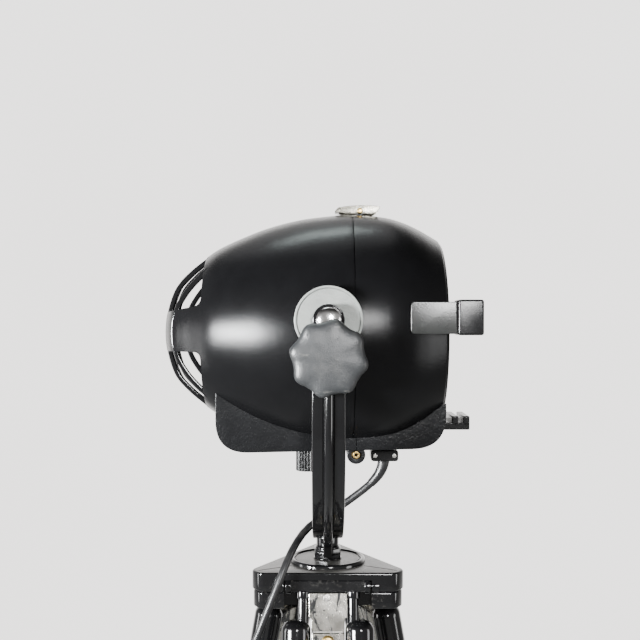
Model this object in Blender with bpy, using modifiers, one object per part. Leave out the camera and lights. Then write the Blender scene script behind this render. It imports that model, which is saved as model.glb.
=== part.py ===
"""Tripod floor lamp: an egg-shaped theatre spotlight in a yoke, on a three-legged stand.

Metres, +Z up. The beam leaves along +X. The yoke turns about the vertical pan axis, the lamp tilts about
the level pivot axis, and lamp points are written from the pivot, in millimetres, through mm().
"""

from math import cos, pi, radians, sin

import bmesh
import bpy
from mathutils import Matrix, Vector

# Driving dimensions, in metres.
PIVOT_HEIGHT = 1.310
PAN_AXIS_Y = 0.05326
WALL = 0.0035
GAP = 0.0003

# The egg: a body turned about a line parallel to X, this far below the pivot.
EGG_AXIS_Z = -0.013
EGG_OUTLINE = [(-174, 0), (-173, 22), (-163, 50), (-134, 78), (-115, 91), (-84, 105), (-59, 114), (-31, 121)]
EGG_OUTLINE += [(-6, 124.5), (22, 126.7), (57, 124.5), (79, 119), (97, 111), (113, 103), (120.3, 97)]
EGG_SIDES = 28
SEAM_X = 0.026
RIM_X = 0.1203
LENS_RADIUS = 0.076
LIP_RADIUS = 0.072
CAGE_X = -0.129
CAGE_BAND = 0.0195
CAGE_RIBS = [-0.050, -0.025, 0.0, 0.025, 0.050]
RIB_WIDTH = 0.0046

# The base box under the egg.
BOX_REAR_X = -0.115
BOX_FRONT_X = 0.1206
BOX_HALF_WIDTH = 0.068
BOX_REAR_Z = -0.136
BOX_FRONT_Z = -0.131
BOX_CORNER = 0.024
BOX_WALL = 0.0032
HINGE = (0.0288, -0.138)
BARREL_RADIUS = 0.0095
HINGE_PIN_RADIUS = 0.0039

# The tilt pivot and its clamps. Y values are distances from the lamp's middle plane.
DISC_RADIUS = 0.033
DISC_INNER_Y = 0.1273
DISC_OUTER_Y = 0.1313
BOLT_RADIUS = 0.006
DOME_RADIUS = 0.0122
KNOB_Z = -0.0355
KNOB_RADIUS = 0.0352
KNOB_LOBE = 0.0018
KNOB_LOBES = 8
KNOB_BACK_Y = 0.1525
KNOB_FRONT_Y = 0.166

# The yoke.
YOKE_INNER = 0.136
YOKE_OUTER = 0.145
YOKE_RIDGE = 0.149
YOKE_HALF_WIDTH = 0.016
YOKE_ARC_Z = -0.089
EYE_RADIUS = 0.0145
SPIGOT_RADIUS = 0.008

# The tripod.
HEAD_TOP_Z = -0.262
HEAD_PLATE = 0.0077
HEAD_DEPTH = 0.038
HEAD_FLAT = 0.052
HEAD_CORNER = 0.088
LEG_HINGE_OUT = 0.046
LEG_HINGE_Z = -0.277
LEG_SPREAD = radians(11.5)
LEGS = {"front": -90, "right": 30, "left": 150}
ROD_APART = 0.026
RAIL_APART = 0.033
RAIL_RADIUS = 0.0152
RAIL_TOP = 0.034
RAIL_END = 0.556
BRACKET_END = 0.598
TUBE_RADIUS = 0.011
TUBE_TOP = 0.125
FOOT_HEIGHT = 0.030
FOOT_RADIUS = 0.019

# The cord, from the clamp under the lamp to the coil on the floor.
CORD_RADIUS = 0.004
COIL_RADIUS = 0.044
COIL_HALF_WIDTH = 0.009
COIL_HEIGHT = 0.022
COIL_CENTRE = (-0.142, -0.084)
CLAMP_EXIT = (0.060, -0.020, -0.1503)
UPPER_ROUTE = [(58, -20, -158), (53, -19.5, -167), (41.5, -18.5, -179), (18, -16, -197), (0, -18, -208)]
DROP_ROUTE = [(-18, -25, -218.5), (-28, -36, -227), (-38, -52, -240.5), (-45.5, -63, -256), (-52, -67, -273)]
DROP_ROUTE += [(-59, -70, -290), (-67, -71, -310), (-74, -72, -330), (-86, -74, -400), (-92, -75, -560), (-93, -70, -800), (-94, -58, -1040), (-96, -52, -1190)]

for old in list(bpy.data.objects):
    bpy.data.objects.remove(old, do_unlink=True)


def collection(name):
    made = bpy.data.collections.new(name)
    bpy.context.scene.collection.children.link(made)
    return made


PARTS = collection("tripod_floor_lamp")
CUTTERS = collection("cutters")


def paint(name, colour, roughness, metallic=0.0):
    """A plain Principled material."""
    made = bpy.data.materials.new(name)
    made.use_nodes = True
    shader = made.node_tree.nodes["Principled BSDF"]
    shader.inputs["Base Color"].default_value = (*colour, 1)
    shader.inputs["Roughness"].default_value = roughness
    shader.inputs["Metallic"].default_value = metallic
    return made


FINISHES = {
    "housing_black": ((0.012, 0.012, 0.013), 0.42, 0.0),
    "base_black": ((0.02, 0.02, 0.022), 0.6, 0.0),
    "gloss_black": ((0.006, 0.006, 0.007), 0.12, 0.0),
    "knob_grey": ((0.07, 0.07, 0.072), 0.5, 0.0),
    "disc_grey": ((0.42, 0.43, 0.41), 0.5, 0.3),
    "worn_steel": ((0.55, 0.54, 0.5), 0.35, 1.0),
    "brass": ((0.7, 0.5, 0.22), 0.3, 1.0),
    "clear_glass": ((0.8, 0.84, 0.82), 0.05, 0.0),
    "polished": ((0.8, 0.8, 0.8), 0.1, 1.0),
    "ceramic": ((0.75, 0.73, 0.68), 0.4, 0.0),
    "rubber": ((0.015, 0.015, 0.016), 0.6, 0.0),
}


def pivot_point(x=0.0, y=0.0, z=0.0):
    """A lamp point, measured from the pivot on the pan axis, in world coordinates."""
    return Vector((x, PAN_AXIS_Y + y, PIVOT_HEIGHT + z))


def joint_empty(name, place, parent=None, turn=None):
    """An empty on a joint's axis, which the pieces of a moving body hang from."""
    made = bpy.data.objects.new(name, None)
    made.empty_display_size = 0.03
    PARTS.objects.link(made)
    made.matrix_world = Matrix.Translation(place) @ (turn or Matrix())
    bpy.context.view_layer.update()
    hang(made, parent)
    return made


def hang(obj, parent):
    """Parents obj without moving it."""
    if parent:
        obj.parent = parent
        obj.matrix_parent_inverse = parent.matrix_world.inverted()
        bpy.context.view_layer.update()


def finish(obj, parent, finish_name, frame=None):
    """Places a part in its frame, hangs it from its joint and gives it its own material."""
    obj.matrix_world = (frame or Matrix.Translation(pivot_point())) @ obj.matrix_world
    PARTS.objects.link(obj)
    bpy.context.view_layer.update()
    hang(obj, parent)
    if obj.type == "MESH":
        obj.data.shade_smooth()
        obj.data.set_sharp_from_angle(angle=radians(35))
    obj.data.materials.clear()
    obj.data.materials.append(paint(obj.name + "_finish", *FINISHES[finish_name]))
    return obj


def cutter(obj, frame=None):
    """Hides a helper solid in the cutters' collection, in the same frame as the part it cuts."""
    obj.matrix_world = (frame or Matrix.Translation(pivot_point())) @ obj.matrix_world
    CUTTERS.objects.link(obj)
    obj.hide_render = True
    obj.display_type = "WIRE"
    return obj


def boolean(obj, other, operation="DIFFERENCE", solver="EXACT"):
    made = obj.modifiers.new(operation.lower(), "BOOLEAN")
    made.object = other
    made.operation = operation
    made.solver = solver
    return obj


def from_bmesh(name, bm):
    mesh = bpy.data.meshes.new(name)
    bmesh.ops.recalc_face_normals(bm, faces=bm.faces)
    bm.to_mesh(mesh)
    bm.free()
    return bpy.data.objects.new(name, mesh)


def round_edges(obj, width, segments=2):
    """Rounds the sharp edges only, and not those between faces in one plane."""
    soften = obj.modifiers.new("round_edges", "BEVEL")
    soften.width = width
    soften.segments = segments
    soften.limit_method = "ANGLE"
    soften.angle_limit = radians(40)
    return obj


def block(name, low, high, bevel=0.0):
    """A box between two corners, with rounded edges if bevel is given."""
    bm = bmesh.new()
    bmesh.ops.create_cube(bm, size=1)
    sizes = [b - a for a, b in zip(low, high)]
    bmesh.ops.scale(bm, vec=sizes, verts=bm.verts)
    bmesh.ops.translate(bm, vec=[(a + b) / 2 for a, b in zip(low, high)], verts=bm.verts)
    made = from_bmesh(name, bm)
    return round_edges(made, bevel) if bevel else made


def rod(name, start, end, radius, sides=16):
    """A round bar between two points."""
    bm = bmesh.new()
    along = Vector(end) - Vector(start)
    bmesh.ops.create_cone(bm, cap_ends=True, segments=sides, radius1=radius, radius2=radius, depth=along.length)
    turn = along.to_track_quat("Z", "Y").to_matrix().to_4x4()
    middle = (Vector(start) + Vector(end)) / 2
    bmesh.ops.transform(bm, matrix=Matrix.Translation(middle) @ turn, verts=bm.verts)
    return from_bmesh(name, bm)


ALONG = {"X": Matrix.Rotation(pi / 2, 4, "Y"), "Y": Matrix.Rotation(-pi / 2, 4, "X"), "Z": Matrix()}


def turned(name, profile, axis="Z", centre=(0, 0, 0), sides=32, loop=True, flip=False):
    """A turned solid: profile is (radius, height) points down its outer side, and a loop if it is a ring."""
    mesh = bpy.data.meshes.new(name)
    edges = [(i, i + 1) for i in range(len(profile) - 1)]
    if loop:
        edges.append((len(profile) - 1, 0))
    mesh.from_pydata([(r, 0, h) for r, h in profile], edges, [])
    made = bpy.data.objects.new(name, mesh)
    screw = made.modifiers.new("turn", "SCREW")
    screw.steps = sides
    screw.render_steps = sides
    screw.use_merge_vertices = True
    screw.merge_threshold = 0.00005
    over = Matrix.Rotation(pi, 4, "X") if flip else Matrix()
    made.matrix_world = Matrix.Translation(centre) @ ALONG[axis] @ over
    return made


def plate(name, outline, thickness, turn=None):
    """A flat plate: a closed 2D outline, extruded half its thickness each way, turned by a matrix, as a mesh."""
    curve = bpy.data.curves.new(name + "_outline", "CURVE")
    curve.dimensions = "2D"
    curve.fill_mode = "BOTH"
    curve.extrude = thickness / 2
    spline = curve.splines.new("POLY")
    spline.points.add(len(outline) - 1)
    for point, (x, y) in zip(spline.points, outline):
        point.co = (x, y, 0, 1)
    spline.use_cyclic_u = True
    guide = bpy.data.objects.new(name + "_outline", curve)
    bpy.context.scene.collection.objects.link(guide)
    bpy.context.view_layer.update()
    mesh = bpy.data.meshes.new_from_object(guide.evaluated_get(bpy.context.evaluated_depsgraph_get()))
    bpy.data.objects.remove(guide)
    bm = bmesh.new()
    bm.from_mesh(mesh)
    bmesh.ops.remove_doubles(bm, verts=bm.verts, dist=0.00001)
    made = from_bmesh(name, bm)
    made.matrix_world = turn or Matrix()
    return made


def smooth_route(points, step):
    """Points every step along a smooth curve through the given points."""
    points = [Vector(p) for p in points]
    ends = [2 * points[0] - points[1]] + points + [2 * points[-1] - points[-2]]
    dense = []
    for a, b, c, d in zip(ends, ends[1:], ends[2:], ends[3:]):
        for i in range(24):
            t = i / 24
            dense.append(
                0.5 * (2 * b + (c - a) * t + (2 * a - 5 * b + 4 * c - d) * t**2 + (3 * b - a - 3 * c + d) * t**3)
            )
    dense.append(points[-1])
    length = sum((b - a).length for a, b in zip(dense, dense[1:]))
    count = max(2, round(length / step))
    found, walked, wanted = [dense[0]], 0.0, length / count
    for a, b in zip(dense, dense[1:]):
        piece = (b - a).length
        while piece and walked + piece >= wanted - 1e-9 and len(found) < count:
            found.append(a.lerp(b, (wanted - walked) / piece))
            wanted += length / count
        walked += piece
    return found + [dense[-1]]


def tube(name, points, radius):
    """A cord or pipe: a bevelled curve with closed ends."""
    curve = bpy.data.curves.new(name, "CURVE")
    curve.dimensions = "3D"
    curve.bevel_depth = radius
    curve.bevel_resolution = 2
    curve.use_fill_caps = True
    spline = curve.splines.new("POLY")
    spline.points.add(len(points) - 1)
    for point, place in zip(spline.points, points):
        point.co = (*place, 1)
    return bpy.data.objects.new(name, curve)


def mm(points):
    return [tuple(value / 1000 for value in point) for point in points]


# ---------------------------------------------------------------- the egg's outline


def egg_curve():
    """(X, radius) along the egg, from its rear pole to its front rim."""
    route = [Vector((x, r, 0)) for x, r in mm(EGG_OUTLINE)]
    return [(p.x, p.y) for p in smooth_route(route, 0.021)]


EGG = egg_curve()


def egg_offset(depth):
    """The egg's outline moved in by depth along its normal, kept on the axis at the rear pole."""
    moved = []
    for i, (x, r) in enumerate(EGG):
        before, after = EGG[max(i - 1, 0)], EGG[min(i + 1, len(EGG) - 1)]
        along = Vector((after[0] - before[0], after[1] - before[1]))
        if i == 0:
            along = Vector((0, 1))
        along.normalize()
        moved.append((x + along.y * depth, max(r - along.x * depth, 0)))
    return moved


def part_of(outline, low, high):
    """The stretch of an (X, radius) outline between two X values, with points at both ends."""
    found = [outline[0]] if low <= outline[0][0] else []
    for (xa, ra), (xb, rb) in zip(outline, outline[1:]):
        for edge in (low, high):
            if xa < edge < xb:
                found.append((edge, ra + (rb - ra) * (edge - xa) / (xb - xa)))
        if low <= xb <= high:
            found.append((xb, rb))
    return found


def egg_solid(name, extra):
    """The egg as a solid cutter, larger all over by extra, with nothing below the base box's floor."""
    profile = [(r, x) for x, r in reversed(egg_offset(-extra))]
    profile = [(0, profile[0][1])] + profile[:-1] + [(0, profile[-1][1])]
    solid = turned(name, profile, "X", (0, 0, EGG_AXIS_Z), EGG_SIDES, loop=False)
    slab = cutter(block(name + "_slab", (-0.2, -0.2, -0.2), (0.2, 0.2, -0.1295)))
    return boolean(cutter(solid), slab)


# ---------------------------------------------------------------- joints

PAN = joint_empty("pan_axis", pivot_point(z=HEAD_TOP_Z))
TILT = joint_empty("tilt_axis", pivot_point(), PAN)
DOOR = joint_empty("door_axis", pivot_point(HINGE[0], 0, HINGE[1]), TILT)
FOCUS = joint_empty("focus_slide", pivot_point(-0.021, 0, -0.13), DOOR)
FOCUS_TURN = joint_empty("focus_knob_axis", pivot_point(-0.021, 0, -0.15), FOCUS)
CATCH = joint_empty("catch_axis", pivot_point(0.0347, 0, 0.1176), TILT)


# ---------------------------------------------------------------- housing


def base_cut(name):
    """The opening in the egg's underside, inside the base box."""
    inset = BOX_HALF_WIDTH - BOX_WALL - 0.0003
    return cutter(block(name, (-0.108, -inset, -0.16), (0.104, inset, -0.088)))


def front_shell():
    outer = part_of(EGG, SEAM_X + GAP, RIM_X)
    inner = part_of(egg_offset(WALL), SEAM_X + GAP, 0.1085)
    profile = [(LIP_RADIUS, 0.113), (0.080, 0.113), (0.093, RIM_X)]
    profile += [(r, x) for x, r in reversed(outer)]
    profile += [(r, x) for x, r in inner]
    profile += [(LIP_RADIUS, 0.1095)]
    shell = turned("front_shell", profile, "X", (0, 0, EGG_AXIS_Z), EGG_SIDES)
    boolean(shell, base_cut("front_base_cut"))
    for side in (-1, 1):
        bracket = block(
            f"bracket_{side}",
            (-0.012, min(side * 0.111, side * 0.115), -0.014),
            (0.045, max(side * 0.111, side * 0.115), 0.014),
        )
        foot = block(
            f"bracket_foot_{side}",
            (0.030, min(side * 0.111, side * 0.1235), -0.014),
            (0.045, max(side * 0.111, side * 0.1235), 0.010),
        )
        boolean(bracket, cutter(foot), "UNION")
        boolean(shell, cutter(bracket), "UNION")
        bore = rod(f"bracket_bore_{side}", (0, side * 0.105, 0), (0, side * 0.119, 0), BOLT_RADIUS + GAP)
        boolean(shell, cutter(bore))
    ear = block("catch_ear", (0.0297, -0.0085, 0.108), (0.0397, 0.0085, 0.1206))
    boolean(shell, cutter(ear), "UNION")
    bore = rod("catch_ear_bore", (0.0347, -0.02, 0.1176), (0.0347, 0.02, 0.1176), 0.0022, 12)
    boolean(shell, cutter(bore))
    return finish(shell, TILT, "housing_black")


def rear_shell():
    outer = part_of(EGG, -0.2, SEAM_X - GAP)
    inner = part_of(egg_offset(WALL), -0.2, SEAM_X - GAP)
    profile = [(r, x) for x, r in inner] + [(r, x) for x, r in reversed(outer)]
    shell = turned("rear_shell", profile, "X", (0, 0, EGG_AXIS_Z), EGG_SIDES, loop=False)
    boolean(shell, base_cut("rear_base_cut"))
    # The cage: windows between upright ribs, above and below a level band.
    edges = [-0.09] + [rib + s * RIB_WIDTH / 2 for rib in CAGE_RIBS for s in (-1, 1)] + [0.09]
    for number, (low, high) in enumerate(zip(edges[::2], edges[1::2])):
        for place, bottom, top in (("upper", CAGE_BAND, 0.1), ("lower", -0.1, -CAGE_BAND)):
            window = block(
                f"window_{place}_{number}",
                (-0.19, low, EGG_AXIS_Z + bottom),
                (CAGE_X, high, EGG_AXIS_Z + top),
            )
            boolean(shell, cutter(window))
    for side in (-1, 1):
        slot = block(
            f"pivot_slot_{side}",
            (-0.0125, min(side * 0.105, side * 0.14), -0.0145),
            (0.04, max(side * 0.105, side * 0.14), 0.0185),
        )
        boolean(shell, cutter(slot))
    return finish(shell, DOOR, "housing_black")


def box_outline(inset, top):
    """The base box in the XZ plane, as (x, z) points: square above, with round lower corners."""
    corner = BOX_CORNER - inset
    rear, front = BOX_REAR_X + inset, BOX_FRONT_X - inset
    rear_z, front_z = BOX_REAR_Z + inset, BOX_FRONT_Z + inset
    points = [(front, top), (rear, top)]
    rear_corner = (rear + corner, rear_z + corner, pi)
    front_corner = (front - corner, front_z + corner, 1.5 * pi)
    for centre_x, centre_z, first in (rear_corner, front_corner):
        for step in range(7):
            angle = first + step / 6 * pi / 2
            points.append((centre_x + corner * cos(angle), centre_z + corner * sin(angle)))
    return points


UPRIGHT = Matrix.Rotation(pi / 2, 4, "X")


def base_box(name, low_x, high_x, own_knuckles, other_knuckles):
    """One half of the trough under the egg, with its hinge knuckles. Knuckles are (low Y, high Y) pairs."""
    box = plate(name, box_outline(0, -0.07), 2 * BOX_HALF_WIDTH, UPRIGHT)
    round_edges(box, 0.007, 3)
    hollow = plate(name + "_hollow", box_outline(BOX_WALL, -0.05), 2 * (BOX_HALF_WIDTH - BOX_WALL), UPRIGHT)
    boolean(box, cutter(hollow))
    boolean(box, egg_solid(name + "_egg", GAP))
    keep = block(name + "_keep", (low_x, -0.1, -0.2), (high_x, 0.1, -0.02))
    boolean(box, cutter(keep), "INTERSECT")
    for number, (low, high) in enumerate(other_knuckles):
        relief = rod(f"{name}_relief_{number}", at_hinge(low - GAP), at_hinge(high + GAP), BARREL_RADIUS + 0.0006)
        boolean(box, cutter(relief))
    for number, (low, high) in enumerate(own_knuckles):
        knuckle = rod(f"{name}_knuckle_{number}", at_hinge(low), at_hinge(high), BARREL_RADIUS)
        boolean(box, cutter(knuckle), "UNION")
    bore = rod(name + "_bore", at_hinge(-0.09), at_hinge(0.09), HINGE_PIN_RADIUS + GAP)
    boolean(box, cutter(bore))
    return box


def at_hinge(y):
    return (HINGE[0], y, HINGE[1])


MIDDLE_KNUCKLE = [(-0.030, 0.030)]
OUTER_KNUCKLES = [(-0.064, -0.0303), (0.0303, 0.064)]


def base_boxes():
    front = base_box("front_base_box", HINGE[0] + GAP, 0.2, MIDDLE_KNUCKLE, OUTER_KNUCKLES)
    finish(front, TILT, "base_black")
    rear = base_box("rear_base_box", -0.2, HINGE[0] - GAP, OUTER_KNUCKLES, MIDDLE_KNUCKLE)
    slot = block("focus_slot", (-0.049, -0.0048, -0.15), (0.007, 0.0048, -0.12))
    boolean(rear, cutter(slot))
    finish(rear, DOOR, "base_black")
    pin = rod("door_hinge_pin", at_hinge(-0.0665), at_hinge(0.0665), HINGE_PIN_RADIUS)
    finish(pin, TILT, "brass")


def lens_and_ring():
    profile = [(0, 0.109), (LENS_RADIUS, 0.109), (LENS_RADIUS, 0.103), (0.066, 0.103), (0.064, 0.0995)]
    profile += [(0.0515, 0.103), (0.0495, 0.098), (0.030, 0.103), (0.028, 0.096), (0, 0.093)]
    lens = turned("fresnel_lens", profile, "X", (0, 0, EGG_AXIS_Z), EGG_SIDES, loop=False)
    finish(lens, TILT, "clear_glass")
    profile = [(0.0695, 0.1026), (0.0785, 0.1026), (0.0785, 0.0986), (0.0695, 0.0986)]
    return finish(turned("lens_ring", profile, "X", (0, 0, EGG_AXIS_Z), EGG_SIDES), TILT, "worn_steel")


def colour_frame_runners():
    """Two side runners and a comb below, which hold a square colour frame in front of the lens."""
    for name, side in (("near", -1), ("far", 1)):
        boss = block(
            f"runner_boss_{name}",
            (0.080, min(side * 0.095, side * 0.121), -0.013),
            (0.1245, max(side * 0.095, side * 0.121), 0.018),
            0.0015,
        )
        channel = block(
            f"side_runner_{name}",
            (0.1238, min(side * 0.090, side * 0.121), -0.0145),
            (0.1498, max(side * 0.090, side * 0.121), 0.0195),
            0.0015,
        )
        boolean(channel, cutter(boss), "UNION")
        slot = block(
            f"runner_slot_{name}",
            (0.139, min(side * 0.08, side * 0.116), -0.03),
            (0.144, max(side * 0.08, side * 0.116), 0.03),
        )
        boolean(channel, cutter(slot))
        boolean(channel, egg_solid(f"runner_egg_{name}", GAP))
        finish(channel, TILT, "housing_black")
    comb = block("bottom_runner", (0.1209, -0.026, -0.117), (0.151, 0.026, -0.109))
    for number, (low, high) in enumerate(((0.132, 0.139), (0.144, 0.151))):
        prong = block(f"comb_prong_{number}", (low, -0.026, -0.112), (high, 0.026, -0.102))
        boolean(comb, cutter(prong), "UNION")
    finish(comb, TILT, "base_black")


def catch():
    """The toggle over the seam: a bent steel channel on a brass pin."""
    outline = [(0.008, 0.1165), (0.012, 0.1235), (0.048, 0.1235), (0.056, 0.1215), (0.056, 0.1172)]
    outline += [(0.042, 0.1143), (0.030, 0.1143), (0.018, 0.1165)]
    lever = plate("catch_lever", outline, 0.024, UPRIGHT)
    hollow = block("catch_hollow", (0.012, -0.0098, 0.10), (0.06, 0.0098, 0.1218))
    boolean(lever, cutter(hollow))
    bore = rod("catch_bore", (0.0347, -0.02, 0.1176), (0.0347, 0.02, 0.1176), 0.0022, 12)
    boolean(lever, cutter(bore))
    finish(lever, CATCH, "worn_steel")
    pin = rod("catch_pin", (0.0347, -0.0132, 0.1176), (0.0347, 0.0132, 0.1176), 0.0019, 12)
    finish(pin, TILT, "brass")


def cord_clamp():
    clamp = block("cord_clamp", (0.0455, -0.034, -0.150), (0.0745, -0.006, -0.1336), 0.0015)
    finish(clamp, TILT, "base_black")


# ---------------------------------------------------------------- lamp tray


def lamp_tray():
    tray = block("lamp_tray", (-0.066, -0.040, -0.1277), (0.020, 0.040, -0.1252))
    for name, side in (("near", -1), ("far", 1)):
        flange = block(
            f"tray_flange_{name}",
            (-0.066, min(side * 0.038, side * 0.040), -0.1277),
            (0.020, max(side * 0.038, side * 0.040), -0.118),
        )
        boolean(tray, cutter(flange), "UNION")
    finish(tray, FOCUS, "worn_steel")
    holder = turned(
        "lampholder",
        [(0, -0.096), (0.012, -0.096), (0.016, -0.1), (0.016, -0.116)]
        + [(0.021, -0.119), (0.021, -0.1249), (0, -0.1249)],
        centre=(-0.021, 0, 0),
        sides=24,
        loop=False,
    )
    finish(holder, FOCUS, "ceramic")
    globe = [(0.030 * sin(pi * i / 9), -0.040 + 0.030 * cos(pi * i / 9)) for i in range(8)]
    profile = globe + [(0.0125, -0.072), (0.0125, -0.0957), (0, -0.0957)]
    bulb = turned("bulb", profile, centre=(-0.021, 0, 0), sides=16, loop=False)
    finish(bulb, FOCUS, "clear_glass")
    back = [(0.044 * sin(pi / 2 * i / 5), -0.082 + 0.024 * (1 - cos(pi / 2 * i / 5))) for i in range(6)]
    front = [(max(r - 0.0015, 0), x + 0.002) for r, x in back]
    profile = front + list(reversed(back))
    dish = turned("reflector", profile, "X", (0, 0, -0.040), sides=20, loop=False)
    strap = block("reflector_strap", (-0.0655, -0.008, -0.1249), (-0.0625, 0.008, -0.078))
    boolean(dish, cutter(strap), "UNION")
    finish(dish, FOCUS, "polished")
    sides = 20
    ridges = [
        ((0.0125 + 0.0006 * (i % 2)) * cos(pi * i / sides), (0.0125 + 0.0006 * (i % 2)) * sin(pi * i / sides))
        for i in range(2 * sides)
    ]
    grip = plate("focus_knob", ridges, 0.025, Matrix.Translation((-0.021, 0, -0.151)))
    stem = rod("focus_stem", (-0.021, 0, -0.1280), (-0.021, 0, -0.150), 0.004, 16)
    boolean(grip, cutter(stem), "UNION")
    finish(grip, FOCUS_TURN, "base_black")


# ---------------------------------------------------------------- pivots and clamps


def pivots():
    for name, side in (("near", -1), ("far", 1)):
        flip = side < 0
        rim = DISC_OUTER_Y + 0.0006
        profile = [(BOLT_RADIUS + GAP, DISC_OUTER_Y), (0.031, DISC_OUTER_Y), (0.0315, rim)]
        profile += [(DISC_RADIUS, rim), (DISC_RADIUS, DISC_INNER_Y), (BOLT_RADIUS + GAP, DISC_INNER_Y)]
        disc = turned(f"friction_disc_{name}", profile, "Y", sides=28, flip=flip)
        finish(disc, TILT, "disc_grey")
        dome = [(DOME_RADIUS * sin(pi / 2 * i / 4), 0.1463 + 0.0047 * cos(pi / 2 * i / 4)) for i in range(5)]
        profile = dome + [(DOME_RADIUS, 0.1454), (BOLT_RADIUS, 0.1454), (BOLT_RADIUS, 0.104), (0, 0.104)]
        bolt = turned(f"pivot_bolt_{name}", profile, "Y", sides=24, loop=False, flip=flip)
        finish(bolt, TILT, "polished")
        axis = joint_empty(f"clamp_axis_{name}", pivot_point(0, side * 0.15, KNOB_Z), PAN)
        points = 40
        lobed = []
        for i in range(points):
            angle = 2 * pi * i / points
            radius = KNOB_RADIUS + KNOB_LOBE * cos(KNOB_LOBES * (angle + radians(11)))
            lobed.append((radius * cos(angle), radius * sin(angle)))
        middle = (KNOB_BACK_Y + KNOB_FRONT_Y) / 2
        turn = Matrix.Translation((0, side * middle, KNOB_Z)) @ UPRIGHT
        knob = plate(f"tilt_knob_{name}", lobed, KNOB_FRONT_Y - KNOB_BACK_Y, turn)
        round_edges(knob, 0.0025)
        profile = [(0, 0.155), (0.012, 0.155), (0.012, 0.1496), (0.005, 0.1496), (0.005, 0.1356)]
        profile += [(0.013, 0.1356), (0.013, 0.1325), (0, 0.1325)]
        screw = turned(f"clamp_screw_{name}", profile, "Y", (0, 0, KNOB_Z), sides=24, loop=False, flip=flip)
        boolean(knob, cutter(screw), "UNION")
        finish(knob, axis, "knob_grey")


# ---------------------------------------------------------------- yoke


def u_outline(inner, outer, top, steps=18):
    """A U in the YZ plane: both edges of a band whose bottom is half a ring."""
    points = [(outer, top)]
    points += [(outer * cos(pi * i / steps), YOKE_ARC_Z - outer * sin(pi * i / steps)) for i in range(steps + 1)]
    points += [(-outer, top), (-inner, top)]
    points += [(-inner * cos(pi * i / steps), YOKE_ARC_Z - inner * sin(pi * i / steps)) for i in range(steps + 1)]
    return points + [(inner, top)]


ACROSS = Matrix.Rotation(pi / 2, 4, "Z") @ Matrix.Rotation(pi / 2, 4, "X")


def yoke():
    band = plate("yoke", u_outline(YOKE_INNER, YOKE_OUTER, 0.0), 2 * YOKE_HALF_WIDTH, ACROSS)
    ridge = plate("yoke_ridge", u_outline(YOKE_OUTER - 0.002, YOKE_RIDGE, -0.018), 0.009, ACROSS)
    boolean(band, cutter(ridge), "UNION", solver="MANIFOLD")
    for name, side in (("near", -1), ("far", 1)):
        notch = block(
            f"arm_notch_{name}",
            (-0.02, min(side * 0.13, side * 0.16), -0.0005),
            (0.02, max(side * 0.13, side * 0.16), 0.02),
        )
        boolean(band, cutter(notch), solver="MANIFOLD")
        eye_ends = [(0, side * (YOKE_INNER - GAP / 2), 0), (0, side * (YOKE_OUTER + GAP / 2), 0)]
        eye = rod(f"yoke_eye_{name}", *eye_ends, EYE_RADIUS, 24)
        boolean(band, cutter(eye), "UNION", solver="MANIFOLD")
        for number, (place, radius) in enumerate(((0, BOLT_RADIUS + 0.0004), (KNOB_Z, 0.0054))):
            bore = rod(f"arm_bore_{name}_{number}", (0, side * 0.13, place), (0, side * 0.16, place), radius)
            boolean(band, cutter(bore), solver="MANIFOLD")
        # A fin runs on below the bend, towards the hub.
        fin = [(0.0168, -0.232), (0.0168, -0.254), (0.022, -0.254), (0.080, -0.2135)]
        fin += [(0.078, -0.205), (0.0168, -0.228)]
        fin = [(side * y, z) for y, z in fin]
        boolean(band, cutter(plate(f"yoke_fin_{name}", fin, 0.009, ACROSS)), "UNION", solver="MANIFOLD")
        for corner in (-1, 1):
            shoulder = block(
                f"arm_shoulder_{name}_{corner}",
                (min(corner * 0.0125, corner * 0.02), min(side * 0.13, side * 0.16), -0.010),
                (max(corner * 0.0125, corner * 0.02), max(side * 0.13, side * 0.16), 0.005),
            )
            boolean(band, cutter(shoulder), solver="MANIFOLD")
    boolean(band, cutter(rod("hub_relief", (0, 0, -0.2341), (0, 0, -0.246), 0.0121)), solver="MANIFOLD")
    finish(band, PAN, "gloss_black")
    hub = [(0, -0.2345), (0.0117, -0.2345), (0.0117, -0.2452), (SPIGOT_RADIUS, -0.2452)]
    hub += [(SPIGOT_RADIUS, -0.304), (0, -0.304)]
    finish(turned("yoke_spigot", hub, sides=24, loop=False), PAN, "gloss_black")
    flats = 0.014 / cos(pi / 6)
    hexagon = [(flats * cos(pi / 3 * i + pi / 6), flats * sin(pi / 3 * i + pi / 6)) for i in range(6)]
    nut = plate("yoke_nut", hexagon, 0.0132, Matrix.Translation((0, 0, -0.2521)))
    bore = rod("yoke_nut_bore", (0, 0, -0.24), (0, 0, -0.27), SPIGOT_RADIUS + GAP)
    boolean(nut, cutter(bore))
    finish(nut, PAN, "gloss_black")


# ---------------------------------------------------------------- tripod


def head_outline(flat, corner):
    """A triangle with its corners cut off, one flat side towards -Y, as (x, y) points."""
    half = (corner - flat / 2) / cos(pi / 6)
    points = []
    for direction in LEGS.values():
        angle = radians(direction)
        for side in (-1, 1):
            points.append(
                (flat * cos(angle) - side * half * sin(angle), flat * sin(angle) + side * half * cos(angle))
            )
    return points


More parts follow.
